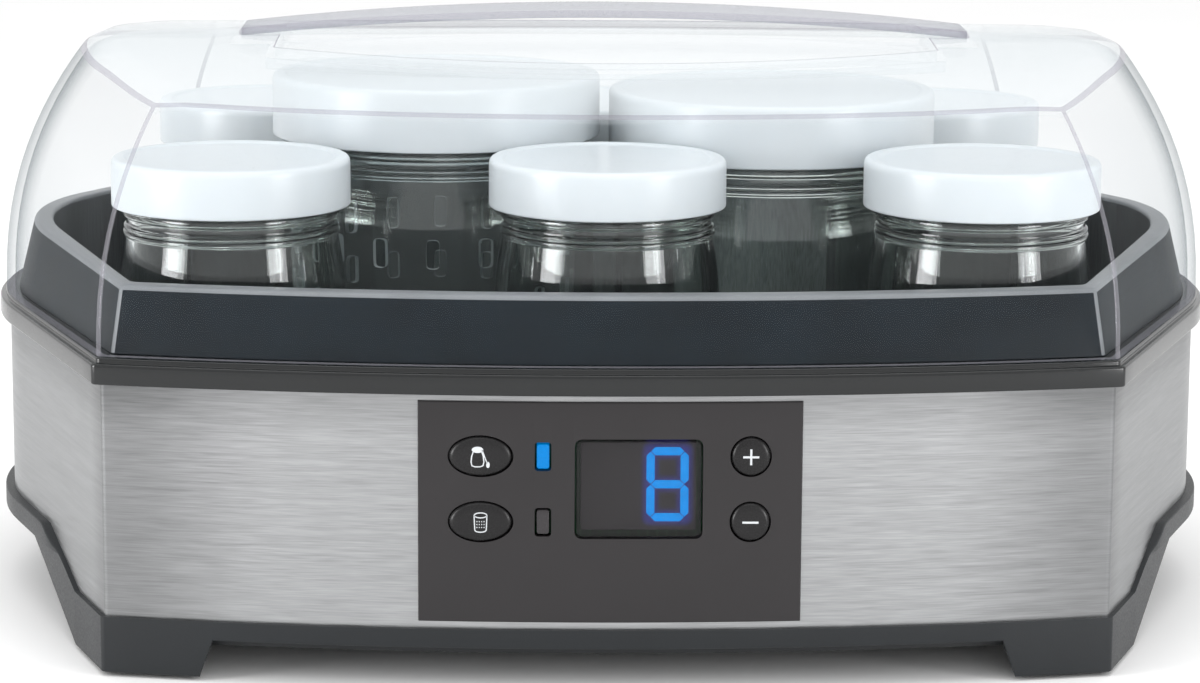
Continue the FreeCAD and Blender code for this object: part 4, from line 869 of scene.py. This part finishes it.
LID_WALL = 2.2
LID_CORNER_X, LID_CORNER_Y, LID_CREASE, LEAN_POWER = 120.8, 108.5, 134.0, 2.3
LID_LEVELS = [TRIM_TOP + step for step in range(0, 72)]
RECESS_HALF, RECESS_END, RECESS_MIDDLE, RECESS_FLOOR = 84.0, 31.8, 52.2, 139.0
POCKET_HALF, POCKET_WIDTH = 94.3, 10.8
HANDLE_HALF, HANDLE_END, HANDLE_MIDDLE, HANDLE_THICKNESS = 94.0, 10.5, 12.5, 2.0
HANDLE_CREST, HANDLE_RISE, VAULT = 144.9, 5.25, 0.0009
LID_CREST, CORNER_SAG, ROLL_WIDTH, ROLL_DROP, ROLL_FADE = 143.4, 3.5, 12.0, 5.2, 1.45


def lid_outline(height):
    """Plan of the lid at a height: the walls lean in, faster toward the crease."""
    lean = max(0.0, (height - TRIM_TOP) / (LID_CREASE - TRIM_TOP)) ** LEAN_POWER
    return Outline(LID_CORNER_X - 11.7 * lean, LID_CORNER_Y - 22.0 * lean, 13.0 + 2.5 * lean,
                   156.4 - 16.4 * lean, 93.0, 1.7)


ROLL_OUTLINE = lid_outline(136.0)
WALL_STEPS, TOP_STEPS, SOFT_STEPS = 12, 8, 3


def lid_top(x, y):
    """The vaulted top, lower toward the corners and rolling down along the two sides."""
    across, along = x / LID_CORNER_X, y / LID_CORNER_Y
    beyond = max(0.0, abs(x) - (ROLL_OUTLINE.side_x(y) - ROLL_WIDTH)) / ROLL_WIDTH
    roll = ROLL_DROP * max(0.0, 1 - ROLL_FADE * along ** 2) * beyond ** 2
    return LID_CREST - VAULT * y * y - CORNER_SAG * (across * along) ** 2 - roll


def shelf_height(y):
    """Where the handle's ends rest."""
    return HANDLE_CREST - HANDLE_THICKNESS - VAULT * y * y


def arc_y(x, half, end, middle):
    """Half width of an eye-shaped plan with a bowed edge, positive outwards."""
    rise = middle - end
    radius = (half ** 2 + rise ** 2) / (2 * abs(rise))
    sag = radius - math.sqrt(max(0.0, radius ** 2 - x ** 2))
    return middle - math.copysign(sag, rise)


def recess_quarters(out):
    """Two loops for the recess: its mouth with the handle pockets, and its walls below them."""
    half, end, middle = RECESS_HALF + out, RECESS_END + out, RECESS_MIDDLE + out
    pocket_half, pocket = POCKET_HALF + out, POCKET_WIDTH + out
    mouth = []
    for i in range(FRONT_COUNT):
        x = half * i / (FRONT_COUNT - 1)
        mouth.append((x, -arc_y(x, half, end, middle)))
    walls = list(mouth)
    for step in range(1, FOLD_STEPS + 1):
        y = -end + (end - pocket) * step / FOLD_STEPS
        mouth.append((half, y))
        walls.append((half, y))
    for step in range(1, LEAD_STEPS + 1):
        mouth.append((half + (pocket_half - half) * step / LEAD_STEPS, -pocket))
        walls.append((half, -pocket))
    rest = len(SIDE_STATIONS) - 1
    for step in range(1, rest + 1):
        y = -pocket * (1 - step / rest)
        mouth.append((pocket_half, y))
        walls.append((half, y))
    return all_round(mouth), all_round(walls)


def lid_columns(inset):
    """One path per loop column, from the lid's foot up over the crease and down into the recess."""
    loops = [lid_outline(level).inset(inset).points(True) for level in LID_LEVELS]
    mouth, walls = recess_quarters(inset)
    floor = RECESS_FLOOR - inset

    def wall_at(column, height):
        place = min(max(height - LID_LEVELS[0], 0.0), len(LID_LEVELS) - 1.001)
        low = int(place)
        return lerp(loops[low][column], loops[low + 1][column], place - low)

    columns = []
    for column in range(LOOP_COUNT):
        low, high = 120.0, LID_LEVELS[-1]
        for _ in range(30):
            middle = (low + high) / 2
            x, y = wall_at(column, middle)
            if middle < lid_top(x, y) - inset:
                low = middle
            else:
                high = middle
        crease = (*wall_at(column, low), low)
        foot = TRIM_TOP + 0.02
        path = [(*wall_at(column, foot), foot), (*wall_at(column, foot + 0.8), foot + 0.8)]
        for step in range(1, WALL_STEPS):
            height = foot + (low - foot) * (step / WALL_STEPS) ** 0.8
            path.append((*wall_at(column, height), height))
        radii = [0] * len(path) + [1.0]
        path.append(crease)
        for step in range(1, TOP_STEPS):
            x, y = lerp(crease[:2], mouth[column], step / TOP_STEPS)
            path.append((x, y, lid_top(x, y) - inset))
            radii.append(0)
        (mouth_x, mouth_y), (wall_x, wall_y) = mouth[column], walls[column]
        shelf = max(shelf_height(mouth_y) - inset, floor + 0.6)
        path += [(mouth_x, mouth_y, lid_top(mouth_x, mouth_y) - inset), (mouth_x, mouth_y, shelf),
                 (wall_x, wall_y, shelf), (wall_x, wall_y, floor),
                 (wall_x * 0.75, wall_y * 0.6, floor)]
        radii += [0.9, 0.5, 0.7, 1.2, 0]
        columns.append(soften(path, radii, SOFT_STEPS))
    return columns


CREASE_ROW = WALL_STEPS + 1
MOUTH_ROW = CREASE_ROW + SOFT_STEPS + TOP_STEPS


def skin_paint(row, column):
    """The walls are clear, the top carries a painted pale sheen for its reflection, and the recess
    is between the two.
    """
    if row > MOUTH_ROW:
        return 3
    return 2 if row > CREASE_ROW else 0


def lid_paint(row, column):
    """As the inner skin, with the folds, the crease and the recess's lip as grey bands of painted
    shade.
    """
    if CREASE_ROW <= row < CREASE_ROW + SOFT_STEPS or MOUTH_ROW <= row < MOUTH_ROW + SOFT_STEPS:
        return 1
    return 1 if row < CREASE_ROW and on_fold(column) else skin_paint(row, column)


def make_lid():
    shape = Shape()
    outer, inner = (shape.rows([list(row) for row in zip(*lid_columns(inset))], paint=paint)
                    for inset, paint in ((0.0, lid_paint), (LID_WALL, skin_paint)))
    # The foot between the two skins takes the same band of painted shade.
    shape.bridge(outer[0], inner[0], paint=1)
    shape.face(outer[-1], 3)
    shape.face(inner[-1], 3)
    materials = ["lid", "lid_edge", "lid_top", "lid_recess"]
    piece_from("lid_shell", shape, materials, "lid", ["lid_cover"], 34)


def handle_top(x, y):
    return HANDLE_CREST + HANDLE_RISE * (1 - (x / HANDLE_HALF) ** 2) - VAULT * y * y


def make_handle():
    """The bridge over the recess: a thin arched strip, widest where its ends are seated."""
    rows = []
    stations = 64
    for i in range(stations + 1):
        x = HANDLE_HALF * (2 * i / stations - 1)
        half = arc_y(x, HANDLE_HALF, HANDLE_END, HANDLE_MIDDLE)
        across = [half * (2 * j / 12 - 1) for j in range(13)]
        section = [(y, handle_top(x, y)) for y in across]
        section += [(y, handle_top(x, y) - HANDLE_THICKNESS) for y in reversed(across)]
        radii = [0] * len(section)
        for corner in (0, 12, 13, 25):
            radii[corner] = 1.0
        rows.append([(x, y, z) for y, z in soften(section, radii, 3, closed=True)])
    shape = Shape()
    # The strip's long edges and its ends take the lid_edge band of painted shade.
    edge_columns = {*range(3), *range(15, 23), *range(35, 38)}
    shape.rows(rows, paint=lambda row, column: 1 if column in edge_columns else 0, ends=1)
    piece_from("handle_bridge", shape, ["handle", "lid_edge"], "lid",
               ["lid_handle"], 34)


# ---------------------------------------------------------------- jars

def round_box(node):
    """Axis, foot, radius and height of a round node that stands upright."""
    low, high = BOX[node]
    return ((low[0] + high[0]) / 2, (low[1] + high[1]) / 2, low[2], (high[0] - low[0]) / 2,
            high[2] - low[2])


def jar_profile(height, radius, neck, cap_foot):
    """Closed half section: foot ring, body, slow taper, ringed neck, thread, rim and inside."""
    wall = 2.6
    bore = neck - wall
    taper = cap_foot - 18.0
    corners = [
        (0.0, 1.2, 0), (radius - 7.0, 0.9, 1.0), (radius - 5.0, 0.0, 1.0), (radius - 3.2, 0.0, 1.0),
        (radius - 0.6, 0.9, 1.6), (radius, 3.8, 2.0), (radius, taper, 4.0),
        (neck - 0.1, cap_foot - 7.2, 0.6), (neck + 0.35, cap_foot - 6.9, 0.3),
        (neck + 0.35, cap_foot - 6.1, 0.3), (neck - 0.3, cap_foot - 5.8, 0.2),
        (neck + 0.2, cap_foot - 5.4, 0.3), (neck + 0.2, cap_foot - 4.7, 0.3),
        (neck - 0.5, cap_foot - 4.3, 0.3), (neck - 0.5, cap_foot - 2.6, 0.3),
        (neck + 0.4, cap_foot - 2.2, 0.4), (neck + 0.4, cap_foot - 0.9, 0.4),
        (neck, cap_foot - 0.5, 0.3), (neck, height - 8.2, 0.3),
        (neck + 0.9, height - 7.6, 0.5), (neck + 0.9, height - 6.2, 0.5), (neck, height - 5.6, 0.3),
        (neck, height, 1.1), (bore, height, 1.1), (bore, cap_foot - 6.0, 1.5),
        (radius - wall, taper - 1.0, 4.0), (radius - wall, 6.5, 3.5),
        (radius - wall - 6.0, 4.2, 2.0), (0.0, 3.6, 0),
    ]
    return soft_profile(corners, 4)


def make_jar(node, neck):
    x, y, foot, radius, height = round_box(node)
    cap_foot = BOX[node.replace("_jar", "_cap")][0][2] - foot
    shape = Shape()
    lathe(shape, jar_profile(height, radius, neck, cap_foot), (x, y, foot))
    piece_from("glass_" + node, shape, ["glass"], node, [node], 40)


CAP_WALL, CAP_TOP = 1.7, 1.8


def make_cap(node):
    """A screw cap: softened shoulder, shallow dish on top, thread ridge inside."""
    x, y, foot, radius, height = round_box(node)
    inside = radius - CAP_WALL
    corners = [
        (0.0, height - 0.5, 0), (radius - 4.0, height - 0.5, 0.8), (radius - 3.2, height, 0.6),
        (radius, height, 2.0), (radius, 0.0, 0.5), (inside, 0.0, 0.4),
        (inside, 4.0, 0.2), (inside - 0.35, 4.5, 0.2), (inside, 5.0, 0.2),
        (inside, height - 0.5 - CAP_TOP, 0.8), (0.0, height - 0.5 - CAP_TOP, 0),
    ]
    shape = Shape()
    lathe(shape, soft_profile(corners, 5), (x, y, foot), 128)
    piece_from("lid_of_" + node.replace("_cap", "_jar"), shape, ["cap"], node, [node],
               34)


def make_jars():
    for number in range(1, 7):
        make_jar("small_jar_%d" % number, 26.3)
        make_cap("small_cap_%d" % number)
    for side in ("left", "right"):
        make_jar("large_jar_" + side, 39.7)
        make_cap("large_cap_" + side)


SLOT_ROWS, SLOT_COLUMNS, FIRST_SLOT, SLOT_PITCH = 3, 16, 24.0, 14.0
SLOT_HEIGHT, SLOT_HALF = 7.5, 1.65
HOLE_RINGS, HOLE_PITCH, HOLE_RADIUS = 3, 9.0, 1.4


def make_strainer():
    """Slotted basket hanging in the left large jar."""
    node = "strainer_basket"
    x, y, bottom, flange, _ = round_box(node)
    top = BOX[node][1][2]
    mouth, foot, wall = 36.4, 33.8, 1.5
    rim = top - 2.4
    corners = [(0.0, bottom, 0), (foot, bottom, 1.8), (mouth, rim, 0.5), (flange, rim, 0.4),
               (flange, top, 0.8), (mouth - wall, top, 0.8), (mouth - wall, rim, 0.5),
               (foot - wall, bottom + wall, 1.2), (0.0, bottom + wall, 0)]
    blank = Shape()
    lathe(blank, soft_profile(corners, 3), (x, y, 0))
    materials = ["strainer", "slot_edge"]
    basket = mesh_object("straining_basket", blank, materials)
    cutters = Shape()
    for row in range(SLOT_ROWS):
        base = TUB_FLOOR + FIRST_SLOT + SLOT_PITCH * row
        for column in range(SLOT_COLUMNS):
            angle = 2 * math.pi * column / SLOT_COLUMNS
            turn = Matrix.Rotation(angle, 3, "Z")
            slot = Shape()
            opening = rounded_rectangle(-SLOT_HALF, SLOT_HALF, base, base + SLOT_HEIGHT, 1.2, 3)
            prism(slot, opening, "X", 26.0, 44.0)
            points = [turn @ Vector(point) + Vector((x, y, 0)) for point in slot.points]
            numbers = cutters.add([tuple(point) for point in points])
            for corners in slot.faces:
                # The slot walls take the lighter slot_edge grey, a painted highlight along the cut
                # edges.
                cutters.face([numbers[corner] for corner in corners], 1)
    for ring in range(1, HOLE_RINGS + 1):
        reach = HOLE_PITCH * ring
        for centre in ellipse(x, y, reach, reach, 6 * ring):
            hole = ellipse(*centre, HOLE_RADIUS, HOLE_RADIUS, 12)
            prism(cutters, hole, "Z", bottom - 3, bottom + 4)
    with_boolean(basket, [mesh_object("basket_cutters", cutters, materials)], "DIFFERENCE")
    finished(basket, "strainer", [node], 34)


# ---------------------------------------------------------------- panel

PANEL_PROUD = 0.8
UPPER_ROW, LOWER_ROW = 56.5, 40.8
LAMP_X, OVAL_X, ROUND_X = -15.8, -30.4, 32.9
WINDOW = (-8.4, 21.7, 36.8, 60.7)
BOARD_FRONT = -112.0


def bowed_plate(name, half, low, high, front, back, bevel):
    """A plate that follows the bowed front, its front border eased."""
    shape = Shape()
    corners = [(front, low), (front, high), (back, high), (back, low)]
    section = soften(corners, (bevel, bevel, 0, 0), 3, closed=True)
    rows = []
    stations = [-half, -half + bevel * 0.35] + [half * (2 * i / 60 - 1) for i in range(1, 60)] + [
        half - bevel * 0.35, half]
    for x in stations:
        eased = bevel * 0.7 if abs(x) > half - 1e-6 else 0.0
        row = []
        for proud, z in section:
            depth = proud - eased if proud > (front + back) / 2 else proud
            row.append((x, STEEL.front_y(x, depth), z))
        rows.append(row)
    shape.rows(rows, ends=0)
    return mesh_object(name, shape, ["panel"])


def make_panel():
    panel = bowed_plate("panel_plate", PANEL_HALF, PANEL_LOW, PANEL_HIGH, PANEL_PROUD, 0.02, 0.5)
    plug = bowed_plate("panel_plug", PANEL_HALF - 1.8, PANEL_LOW + 1.8, PANEL_HIGH - 1.8, 0.3, -2.2,
                       0.05)
    with_boolean(panel, [plug], "UNION")
    cutters = Shape()
    holes = [rounded_rectangle(*WINDOW, 1.9)]
    for z in (UPPER_ROW, LOWER_ROW):
        holes.append(rounded_rectangle(LAMP_X - 1.95, LAMP_X + 1.95, z - 3.45, z + 3.45, 0.9))
        holes.append(ellipse(OVAL_X, z, 7.7, 5.0))
        holes.append(ellipse(ROUND_X, z, 4.9, 4.9))
    for hole in holes:
        prism(cutters, hole, "Y", -130.0, -116.0)
    with_boolean(panel, [mesh_object("panel_cutters", cutters, ["panel"])], "DIFFERENCE")
    posts = Shape()
    for x in (-40.0, 40.0):
        for z in (22.5, 64.0):
            root = STEEL.front_y(x, -1.6)
            profile = [(0.8, BOARD_FRONT - 6), (0.8, BOARD_FRONT), (1.5, BOARD_FRONT),
                       (1.8, BOARD_FRONT - 0.3), (1.8, STEEL.front_y(x, -2.0)), (2.6, root),
                       (0.8, root)]
            lathe(posts, profile, (x, 0, z), 24, upright=False, ring=True)
    finished(panel, "base", ["panel_fascia"], 30)
    piece_from("panel_posts", posts, ["panel"], "base", [])


def lens(name, outline, material, node):
    """A small flat-backed lens with an eased front, in an opening of the panel."""
    shape = Shape()
    centre = [sum(values) / len(outline) for values in zip(*outline)]
    rows = []
    for factor, back in ((0.5, 0.0), (0.84, 0.02), (0.94, 0.12), (1.0, 0.45), (1.0, 9.6)):
        rows.append([(small_x, STEEL.front_y(x, PANEL_PROUD - 0.2) + back, small_z) for (x, _),
                     (small_x, small_z) in zip(outline, shrunk(outline, centre, factor))])
    shape.rows(rows, ends=0)
    piece_from(name, shape, [material], "base", [node])


def make_window():
    """The smoked pane over the display, and the two lamps beside it."""
    left, right, low, high = WINDOW
    shape = Shape()
    rows = []
    for shrink, back in ((0.45, 0.0), (0.3, 0.0), (0.1, 0.03), (0.0, 0.2), (0.0, 1.3)):
        ring = rounded_rectangle(left + 0.42 + shrink, right - 0.42 - shrink, low + 0.42 + shrink,
                                 high - 0.42 - shrink, 1.5)
        rows.append([(x, STEEL.front_y(x, PANEL_PROUD) + 0.15 + back, z) for x, z in ring])
    shape.rows(rows, ends=0)
    piece_from("window_pane", shape, ["window"], "base", ["display_window"])
    for name, node, z, material, slot in (
            ("lamp_upper", "upper_indicator", UPPER_ROW, "lit", "lit_blue"),
            ("lamp_lower", "lower_indicator", LOWER_ROW, "unlit", "unlit_lens")):
        outline = rounded_rectangle(LAMP_X - 1.5, LAMP_X + 1.5, z - 3.0, z + 3.0, 0.7)
        lens(name, outline, material, node)


def make_button(name, node, x, z, half_width, half_height):
    """A softly domed key with its flange behind the panel and the stem to its switch."""
    front, back = (corner[1] for corner in BOX[node])
    flange = STEEL.front_y(abs(x) + 9, PANEL_PROUD) + 3.1
    rings = []
    for share, depth in ((0.0, 0.0), (0.35, 0.02), (0.62, 0.08), (0.78, 0.17), (0.88, 0.34),
                         (0.95, 0.62), (0.99, 1.0), (1.0, 1.5)):
        rings.append((half_width * share, half_height * share, front + depth))
    rings += [(half_width, half_height, flange), (half_width + 1, half_height + 1, flange),
              (half_width + 1, half_height + 1, flange + 1.2), (2.0, 2.0, flange + 1.2),
              (2.0, 2.0, back), (0.0, 0.0, back)]
    shape = Shape()
    shape.rows([[(x + wide * math.cos(a), y, z + tall * math.sin(a))
                 for a in (2 * math.pi * i / 64 for i in range(64))] for wide, tall, y in rings])
    piece_from(name, shape, ["button"], node, [node], 50)


PRINT_PROUD, PRINT_DEPTH = 0.02, 0.3


def add_stroke(shape, points, width, front, closed=False):
    """A printed line: a thin flat ribbon along a path on the button's face."""
    path = [Vector(point) for point in points]
    count = len(path)
    left, right = [], []
    for i, point in enumerate(path):
        before = path[i - 1] if closed or i else path[i]
        after = path[(i + 1) % count] if closed or i < count - 1 else path[i]
        along = (after - before).normalized()
        normal = Vector((-along.y, along.x)) * (width / 2)
        left.append(point + normal)
        right.append(point - normal)
    rows = [[(p.x, depth, p.y) for p in side] for side, depth in
            ((left, front), (right, front), (right, front + PRINT_DEPTH),
             (left, front + PRINT_DEPTH))]
    indices = shape.rows(rows, closed=closed, ring=True)
    if not closed:
        shape.face([row[0] for row in indices])
        shape.face([row[-1] for row in indices])


def curve_points(centre, half_width, half_height, start, end, steps):
    return [(centre[0] + half_width * math.cos(math.radians(a)),
             centre[1] + half_height * math.sin(math.radians(a)))
            for a in (start + (end - start) * i / steps for i in range(steps + 1))]


def make_symbols():
    """Generic marks: a jar with a spoon, a perforated cup, plus and minus."""
    jar = Shape()
    front = BOX["yogurt_button"][0][1] - PRINT_PROUD
    x, z = OVAL_X - 0.7, UPPER_ROW
    body = [(-1.0, 1.2), (-1.35, 0.2), (-1.5, -1.2), (-1.3, -2.1), (-0.6, -2.35), (0.6, -2.35),
            (1.3, -2.1), (1.5, -1.2), (1.35, 0.2), (1.0, 1.2)]
    add_stroke(jar, [(x + a, z + b) for a, b in body], 0.28, front)
    prism(jar, ellipse(x, z + 1.7, 1.35, 0.75, 24), "Y", front, front + PRINT_DEPTH)
    add_stroke(jar, [(x + 1.1, z + 1.6), (x + 1.9, z - 0.6), (x + 2.25, z - 1.5)], 0.24, front)
    prism(jar, ellipse(x + 2.45, z - 1.9, 0.42, 0.75, 20), "Y", front, front + PRINT_DEPTH)
    piece_from("mark_jar", jar, ["print"], "yogurt_button", [])

    cup = Shape()
    front = BOX["strain_button"][0][1] - PRINT_PROUD
    x, z = OVAL_X, LOWER_ROW
    add_stroke(cup, curve_points((x, z + 1.7), 1.5, 0.6, 0, 337.5, 15), 0.26, front, closed=True)
    add_stroke(cup, [(x - 1.5, z + 1.6), (x - 1.35, z - 1.8)]
               + curve_points((x, z - 1.8), 1.35, 0.55, 180, 360, 10)
               + [(x + 1.5, z + 1.6)], 0.26, front)
    for row in range(3):
        for column in range(4):
            hole = (x - 0.84 + 0.56 * column, z + 0.2 - 0.7 * row)
            prism(cup, ellipse(*hole, 0.13, 0.16, 10), "Y", front, front + PRINT_DEPTH)
    piece_from("mark_cup", cup, ["print"], "strain_button", [])

    for node, name in (("plus_button", "mark_more"), ("minus_button", "mark_less")):
        mark = Shape()
        front = BOX[node][0][1] - PRINT_PROUD
        x, z = ROUND_X, UPPER_ROW if node == "plus_button" else LOWER_ROW
        bars = [(1.9, -0.25, 0.25)]
        if node == "plus_button":
            bars += [(0.25, 0.25, 1.9), (0.25, -1.9, -0.25)]
        for half, low, high in bars:
            prism(mark, [(x - half, z + low), (x + half, z + low), (x + half, z + high),
                         (x - half, z + high)], "Y", front, front + PRINT_DEPTH)
        piece_from(name, mark, ["print"], node, [])


NUT_RADIUS = 7.3


def make_gland():
    """The bushing in the back: flange, threaded body, nut inside and an eased bore."""
    inside, back = (corner[1] for corner in BOX["cord_gland"])
    profile = [(3.2, inside), (3.2, back - 1.0), (3.9, back - 0.2), (4.6, back), (7.2, back),
               (8.0, back - 0.6), (8.0, back - 1.8), (5.5, back - 1.8), (5.5, back - 3.2)]
    for turn in range(7):
        start = back - 3.4 - turn * 1.2
        profile += [(5.5, start), (5.2, start - 0.3), (5.5, start - 0.6)]
    profile += [(5.3, inside)]
    shape = Shape()
    lathe(shape, profile, (0, 0, GLAND_HEIGHT), 64, upright=False, ring=True)
    nut = ellipse(0.0, GLAND_HEIGHT, NUT_RADIUS, NUT_RADIUS, 6)
    prism(shape, nut, "Y", back - 6.1, back - 3.1)
    piece_from("gland_bushing", shape, ["component"], "base", ["cord_gland"],
               30)


CARRIED = {
    "bottom_cover": "housing", "cover_screws": "zinc", "board_screws": "zinc",
    "heating_plate": "aluminium", "heating_element": "zinc", "element_clips": "aluminium",
    "temperature_sensor": "component", "thermal_fuse": "ribbon", "power_board": "board",
    "control_board": "board", "transformer": "relay", "heater_relay": "component",
    "power_capacitor": "component", "ribbon_cable": "ribbon", "button_switches": "component",
    "digit_segments": "digit",
}


def paint_carried_nodes():
    """Give every CAD node that stays its procedural material."""
    low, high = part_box("digit_segments")
    stroke = 1.9 * MM
    MATERIALS["display"] = display_plastic((low.x, low.z), (high.x, high.z), stroke)
    for node, material in {**CARRIED, "display_module": "display"}.items():
        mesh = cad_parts[node].data
        mesh.materials.clear()
        mesh.materials.append(MATERIALS[material])


# ---------------------------------------------------------------- studio

def make_camera():
    """The photograph's point of view: straight on, a little above the panel."""
    yaw, pitch, roll = (math.radians(angle) for angle in (-1.678, -10.363, 0.467))
    ahead = Vector((-math.sin(yaw) * math.cos(pitch), math.cos(yaw) * math.cos(pitch),
                    math.sin(pitch)))
    level = Vector((math.cos(yaw), math.sin(yaw), 0))
    upward = level.cross(ahead)
    right = level * math.cos(roll) + upward * math.sin(roll)
    up = -level * math.sin(roll) + upward * math.cos(roll)
    data = bpy.data.cameras.new("camera")
    data.sensor_width, data.lens = 36.0, 111.8442
    data.shift_x, data.shift_y = -0.0424, -0.0220
    data.clip_start, data.clip_end = 0.05, 50.0
    camera = bpy.data.objects.new("camera", data)
    turn = Matrix((right, up, -ahead)).transposed().to_4x4()
    camera.matrix_world = Matrix.Translation(Vector((-15.80, -973.72, 245.96)) * MM) @ turn
    bpy.context.scene.collection.objects.link(camera)
    bpy.context.scene.camera = camera


def make_lamp(name, place, target, size, watts, diffuse=True, glossy=True):
    data = bpy.data.lights.new(name, "AREA")
    data.shape, data.size, data.size_y = "RECTANGLE", size[0], size[1]
    data.energy = watts
    lamp = bpy.data.objects.new(name, data)
    lamp.location = place
    lamp.rotation_mode = "QUATERNION"
    lamp.rotation_quaternion = (Vector(target) - Vector(place)).to_track_quat("-Z", "Y")
    lamp.visible_diffuse, lamp.visible_glossy = diffuse, glossy
    bpy.context.scene.collection.objects.link(lamp)


def make_floor():
    """A pale seamless floor with a very faint mottling."""
    shape = Shape()
    rows = [[(x * 500.0, y * 500.0, 0.0) for x in range(-8, 9)] for y in range(-8, 9)]
    shape.rows(rows, closed=False)
    paint = Paint("studio_floor", (0.93, 0.93, 0.93), 0.6)
    paint.vary_colour(paint.noise(4.0), 0.99, 1.01)
    MATERIALS["floor"] = paint.material
    floor = mesh_object("studio_floor", shape, ["floor"])


def make_studio():
    world = bpy.data.worlds.new("studio")
    world.use_nodes = True
    backdrop = world.node_tree.nodes["Background"]
    backdrop.inputs["Color"].default_value = (1.0, 1.0, 1.0, 1)
    backdrop.inputs["Strength"].default_value = 1.0
    bpy.context.scene.world = world
    bpy.context.scene.view_settings.view_transform = "Standard"
    make_floor()
    make_lamp("overhead", (0.0, -0.2, 1.3), (0, 0, 0.05), (1.2, 0.8), 5.0)
    make_lamp("left_box", (-1.0, -0.55, 0.42), (0, 0, 0.08), (0.35, 0.8), 5.5)
    make_lamp("right_box", (1.05, -0.75, 0.42), (0, 0, 0.08), (0.22, 0.8), 4.5)
    make_lamp("left_sheen", (-1.0, -0.60, 0.15), (0, 0, 0.08), (0.5, 0.5), 6.0, diffuse=False)
    make_lamp("right_sheen", (0.85, -0.85, 0.15), (0, 0, 0.08), (0.3, 0.5), 4.0, diffuse=False)
    make_lamp("front_fill", (0.3, -1.1, 0.45), (0, 0, 0.1), (0.8, 0.5), 2.5, glossy=False)


make_housing()
make_feet()
make_steel()
make_trim()
make_tub()
make_lid()
make_handle()
make_jars()
make_strainer()
make_panel()
make_window()
make_button("key_yogurt", "yogurt_button", OVAL_X, UPPER_ROW, 7.4, 4.7)
make_button("key_strain", "strain_button", OVAL_X, LOWER_ROW, 7.4, 4.7)
make_button("key_more", "plus_button", ROUND_X, UPPER_ROW, 4.6, 4.6)
make_button("key_less", "minus_button", ROUND_X, LOWER_ROW, 4.6, 4.6)
make_symbols()
make_gland()
paint_carried_nodes()
make_camera()
make_studio()
